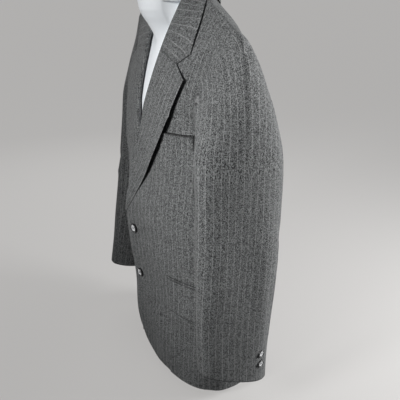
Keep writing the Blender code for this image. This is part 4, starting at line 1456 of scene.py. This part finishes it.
POCKET_COLUMNS = 70
WELT_END = 0.08  # share of the welt in which its gape closes at each end
MOUTH_GRIDS = ((70, 3), (4, 12))
MOUTH_END = 1.4  # the rear strip's width, against the upper one's


def patch_points(degrees, level, side, cloth, lift):
    """A pocket piece's points: the front's, with its folds, moved out."""
    out = body_out(degrees, level, side, cloth) + lift
    return skin(side * degrees, level, out)


class BLAZER_OT_pockets(bpy.types.Operator):
    """Builds the breast welt and the hip pockets with their jets and flaps."""

    bl_idname = "blazer.pockets"
    bl_label = "Pockets"

    def execute(self, context):
        cloth = context.scene.blazer_cloth
        jet_heights = (FLAP_HEIGHTS[1] + POCKET_SLIT, FLAP_HEIGHTS[1] + JET_HEIGHT)
        pieces = [("breast_welt", "welt", WELT_DEGREES, WELT_HEIGHTS, WELT_RISE, 1, 18)]
        for side, word in BOTH:
            pieces += [
                (f"{word}_hip_flap", "flap", FLAP_DEGREES, FLAP_HEIGHTS, -FLAP_DROP, side, 36),
                (f"{word}_hip_jet", "jet", FLAP_DEGREES, jet_heights, -FLAP_DROP, side, 8),
            ]
        for name, cut, degrees, heights, slope, side, rows in pieces:
            wide, level = patch_places(degrees, heights, slope, POCKET_COLUMNS, rows)
            up = np.linspace(0, 1, rows)[:, None]
            across = np.linspace(0, 1, POCKET_COLUMNS)[None, :]
            loose = {"welt": up**2, "flap": (1 - up) ** 1.5, "jet": 0 * up}[cut]
            ends = np.clip(np.minimum(across, 1 - across) / WELT_END, 0, 1)
            lift = PATCH_LIFT + POCKET_GAPE * loose * (ends if cut == "welt" else 1)
            points = patch_points(wide, level, side, cloth, lift)
            grain = body_grain(wide, level, 0.0)
            # these turned sides of each pocket piece are drawn darker, as painted shade
            turned_in = {"welt": ["top", "right"], "flap": list(SIDES), "jet": ["top"]}[cut]
            made = cloth_shell(
                f"{name}_cloth", points, grain, list(SIDES), cloth.wall,
                wool(cloth, "shaded_edge_wool"), side, turned_in,
            )
            word = "left" if side > 0 else "right"
            # the breast welt gets black strips of painted shade in its mouth
            mouth = welt_mouth(side, cloth) if cut == "welt" else ()
            place(made, name, "pinstripe_wool", cut, (f"{word}_front",), "laid", mouth)
        return {"FINISHED"}


def welt_mouth(side, cloth):
    """Black strips of painted shade in the pocket's mouth, above the breast welt and at its rear
    end.
    """
    low, high = WELT_HEIGHTS
    end = WELT_DEGREES[1] + MOUTH_END * math.degrees(MOUTH / BODY_REACH)
    strips = (
        (WELT_DEGREES, (high, high + MOUTH), WELT_RISE),
        ((WELT_DEGREES[1], end), (low + WELT_RISE, high + WELT_RISE + MOUTH), 0.0),
    )
    made = []
    surface = kept("pocket_mouth_shade", pocket_mouth_shade)
    for i, ((wide, tall, rise), grid) in enumerate(zip(strips, MOUTH_GRIDS), 1):
        turn, level = patch_places(wide, tall, rise, *grid)
        points = patch_points(turn, level, side, cloth, np.full(turn.shape, MOUTH_LIFT))
        grain = body_grain(turn, level, 0.0)
        name = f"breast_welt_mouth_{i}"
        piece = cloth_shell(name, points, grain, list(SIDES), MOUTH_WALL, surface, side)
        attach(piece, "root")
        made.append(piece)
    return made


BUTTON_RIM = (
    # radius and height, as shares of the button's radius
    (0.70, 0.30),
    (0.74, 0.37),
    (0.80, 0.42),
    (0.88, 0.43),
    (0.95, 0.39),
    (1.00, 0.29),
    (1.00, 0.20),
    (0.96, 0.06),
    (0.88, 0.01),
    (0.70, 0.00),
    (0.00, 0.00),
)
BUTTON_FACE = (
    # radius and height, as shares of the button's radius
    (0.00, 0.27),
    (0.30, 0.265),
    (0.50, 0.28),
    (0.64, 0.31),
    (0.70, 0.31),
    (0.71, 0.26),
)
BUTTON_STEPS = 48
THREAD_R = 0.045  # a share of the button's radius, as all below
HOLE_PLACE = 0.2
THREAD_PATH = (
    # along and height, of a bar of thread
    (-0.24, 0.24),
    (-0.16, 0.32),
    (0.16, 0.32),
    (0.24, 0.24),
)


def lathed(name, profile, radius, surface):
    """A profile turned round the z axis."""
    work = bmesh.new()
    verts = [work.verts.new((r * radius, 0, h * radius)) for r, h in profile]
    made = [work.edges.new(pair) for pair in zip(verts[:-1], verts[1:])]
    bmesh.ops.spin(
        work, geom=verts + made, cent=(0, 0, 0), axis=(0, 0, 1), angle=2 * math.pi,
        steps=BUTTON_STEPS, use_merge=True,
    )
    bmesh.ops.remove_doubles(work, verts=work.verts, dist=1e-7)
    bmesh.ops.recalc_face_normals(work, faces=work.faces)
    mesh = bpy.data.meshes.new(name)
    work.to_mesh(mesh)
    work.free()
    mesh.shade_smooth()
    return new_object(name, mesh, surface)


class BLAZER_OT_buttons(bpy.types.Operator):
    """Builds the front and sleeve buttons with their thread."""

    bl_idname = "blazer.buttons"
    bl_label = "Buttons"

    def execute(self, context):
        trim = context.scene.blazer_trim
        rim, face = kept("rim", horn, trim), kept("face", pearl, trim)
        sewing = kept("sewing", thread, "Spun polyester thread, grey", "5B5B5D")
        spots = []
        for word, z in BUTTON_ZS.items():
            pair = [
                front_spot(np.array(BUTTON_X), np.array(z), BUTTON_LIFT + out, 1)
                for out in (0, NORMAL_STEP)
            ]
            spots.append((f"front_button_{word}", *pair, BUTTON_R))
        for side, word in BOTH:
            for i, (degrees, height) in enumerate(CUFF_BUTTONS, 1):
                pair = cuff_spot(degrees, height, side)
                spots.append((f"{word}_cuff_button_{i}", *pair, CUFF_BUTTON_R))
        for name, under, above, radius in spots:
            way = Vector(unit(above - under)).to_track_quat("Z", "Y")
            body = lathed(f"{name}_rim", BUTTON_RIM, radius, rim)
            plate = lathed(f"{name}_face", BUTTON_FACE, radius, face)
            stitch = cross_thread(f"{name}_thread", radius, sewing)
            for piece in (body, plate, stitch):
                piece.rotation_mode = "QUATERNION"
                piece.rotation_quaternion = way
                piece.location = under
                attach(piece, "root")
                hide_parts(name)
        return {"FINISHED"}


def cuff_spot(degrees, height, side, count=60):
    """A point just above the sleeve at a height, and one a little further out."""
    along = np.linspace(1, 2, count)
    line = sleeve(np.full(count, degrees), along, side)
    at = np.interp(-height, -line[:, 2], along)
    here, beside, above = (
        sleeve(np.array(degrees + d), np.array(at + a), side)
        for d, a in ((0, 0), (2, 0), (0, -0.02))
    )
    normal = side * unit(np.cross(beside - here, above - here))
    return here + normal * CUFF_LIFT, here + normal * (CUFF_LIFT + NORMAL_STEP)


def cross_thread(name, radius, surface):
    """Two bars of thread through the four holes of a button."""
    curve = bpy.data.curves.new(name, "CURVE")
    curve.dimensions = "3D"
    curve.bevel_depth = THREAD_R * radius
    curve.bevel_resolution = 2
    curve.use_fill_caps = True
    for aside in (-HOLE_PLACE, HOLE_PLACE):
        spline = curve.splines.new("POLY")
        spline.points.add(len(THREAD_PATH) - 1)
        for point, (along, height) in zip(spline.points, THREAD_PATH):
            point.co = (aside * radius, along * radius, height * radius, 1)
    return new_object(name, curve, surface)


def body_y(x, z, front):
    """y of the cloth at x and z, without the pull of the buttoned edge."""
    return torso(*locate(x, z, front), 0.0)[..., 1]


def form_ring(height, spots):
    """The form's outline: the cloth's, drawn in, with the neck standing out of it."""
    half, ahead, behind = read(FORM, height)
    wide, deep, middle = read(FORM_NECK, height)
    if height > FORM[-1][0]:
        half = wide
    front = np.abs(spots) <= 1
    t = np.where(front, spots, np.sign(spots) * (2 - np.abs(spots)))
    inner, outer = np.minimum(np.abs(t), 0.5), np.maximum(np.abs(t) - 0.5, 0)
    flank = wide * math.sin(math.radians(FORM_NECK_SPAN))
    x = wide * np.sin(np.radians(2 * FORM_NECK_SPAN * inner))
    ease = 12 * outer**2 - 16 * outer**3
    x = np.sign(t) * (x + (max(half, wide) - flank) * ease)
    column = deep * np.sqrt(np.clip(1 - (x / wide) ** 2, 0, 1))
    if height > FORM[-1][0]:
        return np.stack([x, middle + np.where(front, -column, column), 0 * x + height], -1)
    lead, trail = (
        (body_y(x, height + FORM_DROP, side_ahead) - FORM_RIDGE_Y) * share
        for side_ahead, share in ((True, ahead), (False, behind))
    )
    end = (1 - np.clip(np.abs(x) / half, 0, 1) ** FORM_ROUND) ** (1 / FORM_ROUND)
    away = np.where(front, -lead, trail + FORM_EDGE) * end
    if height > FORM_NECK[0][0]:
        column = column + np.where(front, FORM_RIDGE_Y - middle, middle - FORM_RIDGE_Y)
        column = np.where(np.abs(t) <= 0.5, column, -1.0)
        away = BLEND * np.logaddexp(away / BLEND, column / BLEND)
    return np.stack([x, FORM_RIDGE_Y + np.where(front, -away, away), 0 * x + height], -1)


class BLAZER_OT_form(bpy.types.Operator):
    """Builds the torso form that the blazer hangs on."""

    bl_idname = "blazer.form"
    bl_label = "Torso form"

    def execute(self, context):
        spots = np.linspace(-2, 2, FORM_STEPS, endpoint=False)
        heights = [row[0] for row in FORM]
        shoulder = heights[-FORM_TOP_ROWS - 1 :]
        rings = [form_ring(z, spots) for z in np.linspace(0, shoulder[0], FORM_ROWS)]
        tops = [form_ring(z, spots) for z in (*shoulder, *FORM_NECK_RINGS)]
        for below, above in zip(tops[:-1], tops[1:]):
            rings += [blend(below, above, share) for share in QUARTERS]
        last = rings[-1]
        middle = last.mean(0)
        for a in np.radians(FORM_END_TURNS):
            inward = FORM_END_R / FORM_NECK[-1][1] * (1 - math.cos(a))
            end = middle + (last - middle) * (1 - inward)
            end[:, 2] = last[0, 2] + FORM_END_R * math.sin(a)
            rings.append(end)
        mesh = bpy.data.meshes.new("torso_form_shell")
        verts = np.concatenate(rings)
        index = np.arange(len(verts)).reshape(len(rings), FORM_STEPS)
        ahead = np.roll(index, -1, 1)
        quads = np.stack([index[:-1], ahead[:-1], ahead[1:], index[1:]], -1).reshape(-1, 4)
        faces = quads.tolist() + [index[0][::-1].tolist(), index[-1].tolist()]
        mesh.from_pydata(verts.tolist(), [], faces)
        mesh.shade_smooth()
        trim = context.scene.blazer_trim
        made = new_object("torso_form_shell", mesh, kept("form", form_plastic, trim))
        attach(made, "root")
        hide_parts("torso_form")
        return {"FINISHED"}


AIM = Vector((0.0, 0.0, 0.45))
SOFT_BOXES = (
    # name, degrees round the wearer from the front, metres away, metres up, size, watts
    ("back", 151.0, 1.30, 0.75, 0.7, 26.0),
    ("right", -95.0, 1.50, 1.10, 0.9, 6.0),
)
KEY_PLACE = (22.0, 1.45, 1.03)  # as a soft box's
KEY_AIM = Vector((0.23, -0.03, 0.50))
KEY_WATTS = 102.0
KEY_SIZE = 0.22
KEY_BEAM = 46.0  # degrees
CEILING_PLACE = Vector((0, 0, 3))
CEILING_TILT = Vector((0.25, -0.1, 1))
CEILING_LIGHT = 0.26
CEILING_SOFTNESS = 40.0  # degrees
WORLD_LIGHT = 0.15
SKYLINE = 0.05  # sine of the angles between which the world turns from dark to pale
FLOOR_GLOW = 2.00
FLOOR_HALF = 80.0
FLOOR_GAP = 0.0005  # below the form's foot
SENSOR = 36.0  # millimetres, as the lens is for
CLIP = (0.05, 50.0)  # metres


def around(azimuth, away, height):
    """A place so many degrees round the wearer from the front."""
    a = math.radians(azimuth)
    return Vector((away * math.sin(a), -away * math.cos(a), height))


class BLAZER_OT_stage(bpy.types.Operator):
    """Builds the floor, the lights and the camera."""

    bl_idname = "blazer.stage"
    bl_label = "Floor, light and camera"

    def execute(self, context):
        stage = context.scene.blazer_stage
        mesh = bpy.data.meshes.new("floor")
        signs = ((-1, -1), (1, -1), (1, 1), (-1, 1))
        corners = [(FLOOR_HALF * x, FLOOR_HALF * y, 0) for x, y in signs]
        mesh.from_pydata(corners, [], [(0, 1, 2, 3)])
        floor = new_object("floor", mesh, paper(stage.floor))
        floor.location.z = -FLOOR_GAP
        floor.visible_diffuse = False

        camera = bpy.data.cameras.new("camera")
        camera.sensor_width = SENSOR
        camera.lens = stage.lens
        camera.clip_start, camera.clip_end = CLIP
        seen = bpy.data.objects.new("camera", camera)
        a, e = stage.azimuth, stage.elevation
        back = Vector((math.sin(a) * math.cos(e), -math.cos(a) * math.cos(e), math.sin(e)))
        target = Vector((stage.aside * math.cos(a), stage.aside * math.sin(a), stage.height))
        seen.location = target + back * stage.distance
        seen.rotation_euler = (-back).to_track_quat("-Z", "Y").to_euler()
        context.scene.collection.objects.link(seen)
        context.scene.camera = seen

        for name, azimuth, away, height, size, watts in SOFT_BOXES:
            spot = around(azimuth, away, height)
            self.hang(
                context, name, "AREA", spot, spot - AIM, shape="DISK", size=size, energy=watts
            )
        spot = around(*KEY_PLACE)
        self.hang(
            context, "key", "SPOT", spot, spot - KEY_AIM, energy=KEY_WATTS, spot_blend=1.0,
            spot_size=math.radians(KEY_BEAM), shadow_soft_size=KEY_SIZE,
        )
        self.hang(
            context, "ceiling", "SUN", CEILING_PLACE, CEILING_TILT, energy=CEILING_LIGHT,
            angle=math.radians(CEILING_SOFTNESS),
        )

        context.scene.view_settings.view_transform = "Standard"
        world = bpy.data.worlds.new("studio")
        world.use_nodes = True
        tree = world.node_tree
        way = put(tree, "ShaderNodeTexCoord").outputs["Generated"]
        up = put(tree, "ShaderNodeSeparateXYZ", _0=way).outputs[2]
        glow = mixed(tree, ramp(tree, up, -SKYLINE, SKYLINE), "101010", "F2F3F5")
        sky = tree.nodes["Background"]
        tree.links.new(glow, sky.inputs["Color"])
        sky.inputs["Strength"].default_value = WORLD_LIGHT
        context.scene.world = world
        return {"FINISHED"}

    def hang(self, context, name, kind, spot, back, **settings):
        """Adds a lamp with its back this way, which the camera doesn't see."""
        lamp = bpy.data.lights.new(name, kind)
        for key, value in settings.items():
            setattr(lamp, key, value)
        made = bpy.data.objects.new(name, lamp)
        made.location = spot
        made.rotation_euler = back.to_track_quat("Z", "Y").to_euler()
        made.visible_camera = False
        context.scene.collection.objects.link(made)


class BLAZER_PT_panel(bpy.types.Panel):
    """Lists what the blazer is built of."""

    bl_label = "Blazer"
    bl_idname = "BLAZER_PT_panel"
    bl_space_type = "VIEW_3D"
    bl_region_type = "UI"
    bl_category = "Blazer"

    def draw(self, context):
        for operator in OPERATORS:
            self.layout.operator(operator.bl_idname)
        for kind in GROUPS:
            group = getattr(context.scene, kind)
            box = self.layout.box()
            for name in group.__annotations__:
                box.prop(group, name)


GROUPS = {"blazer_cloth": BlazerCloth, "blazer_trim": BlazerTrim, "blazer_stage": BlazerStage}
OPERATORS = (
    BLAZER_OT_body,
    BLAZER_OT_collar,
    BLAZER_OT_sleeves,
    BLAZER_OT_pockets,
    BLAZER_OT_buttons,
    BLAZER_OT_form,
    BLAZER_OT_stage,
)


def register():
    """Adds the groups, the operators and the panel."""
    for made in (*GROUPS.values(), *OPERATORS, BLAZER_PT_panel):
        bpy.utils.register_class(made)
    for name, group in GROUPS.items():
        setattr(bpy.types.Scene, name, bpy.props.PointerProperty(type=group))


def unregister():
    """Takes them away again."""
    for name in GROUPS:
        delattr(bpy.types.Scene, name)
    for made in (BLAZER_PT_panel, *reversed(OPERATORS), *reversed(GROUPS.values())):
        bpy.utils.unregister_class(made)


def main():
    """Builds everything."""
    register()
    for operator in OPERATORS:
        group, name = operator.bl_idname.split(".")
        getattr(getattr(bpy.ops, group), name)()


if __name__ == "__main__":
    main()
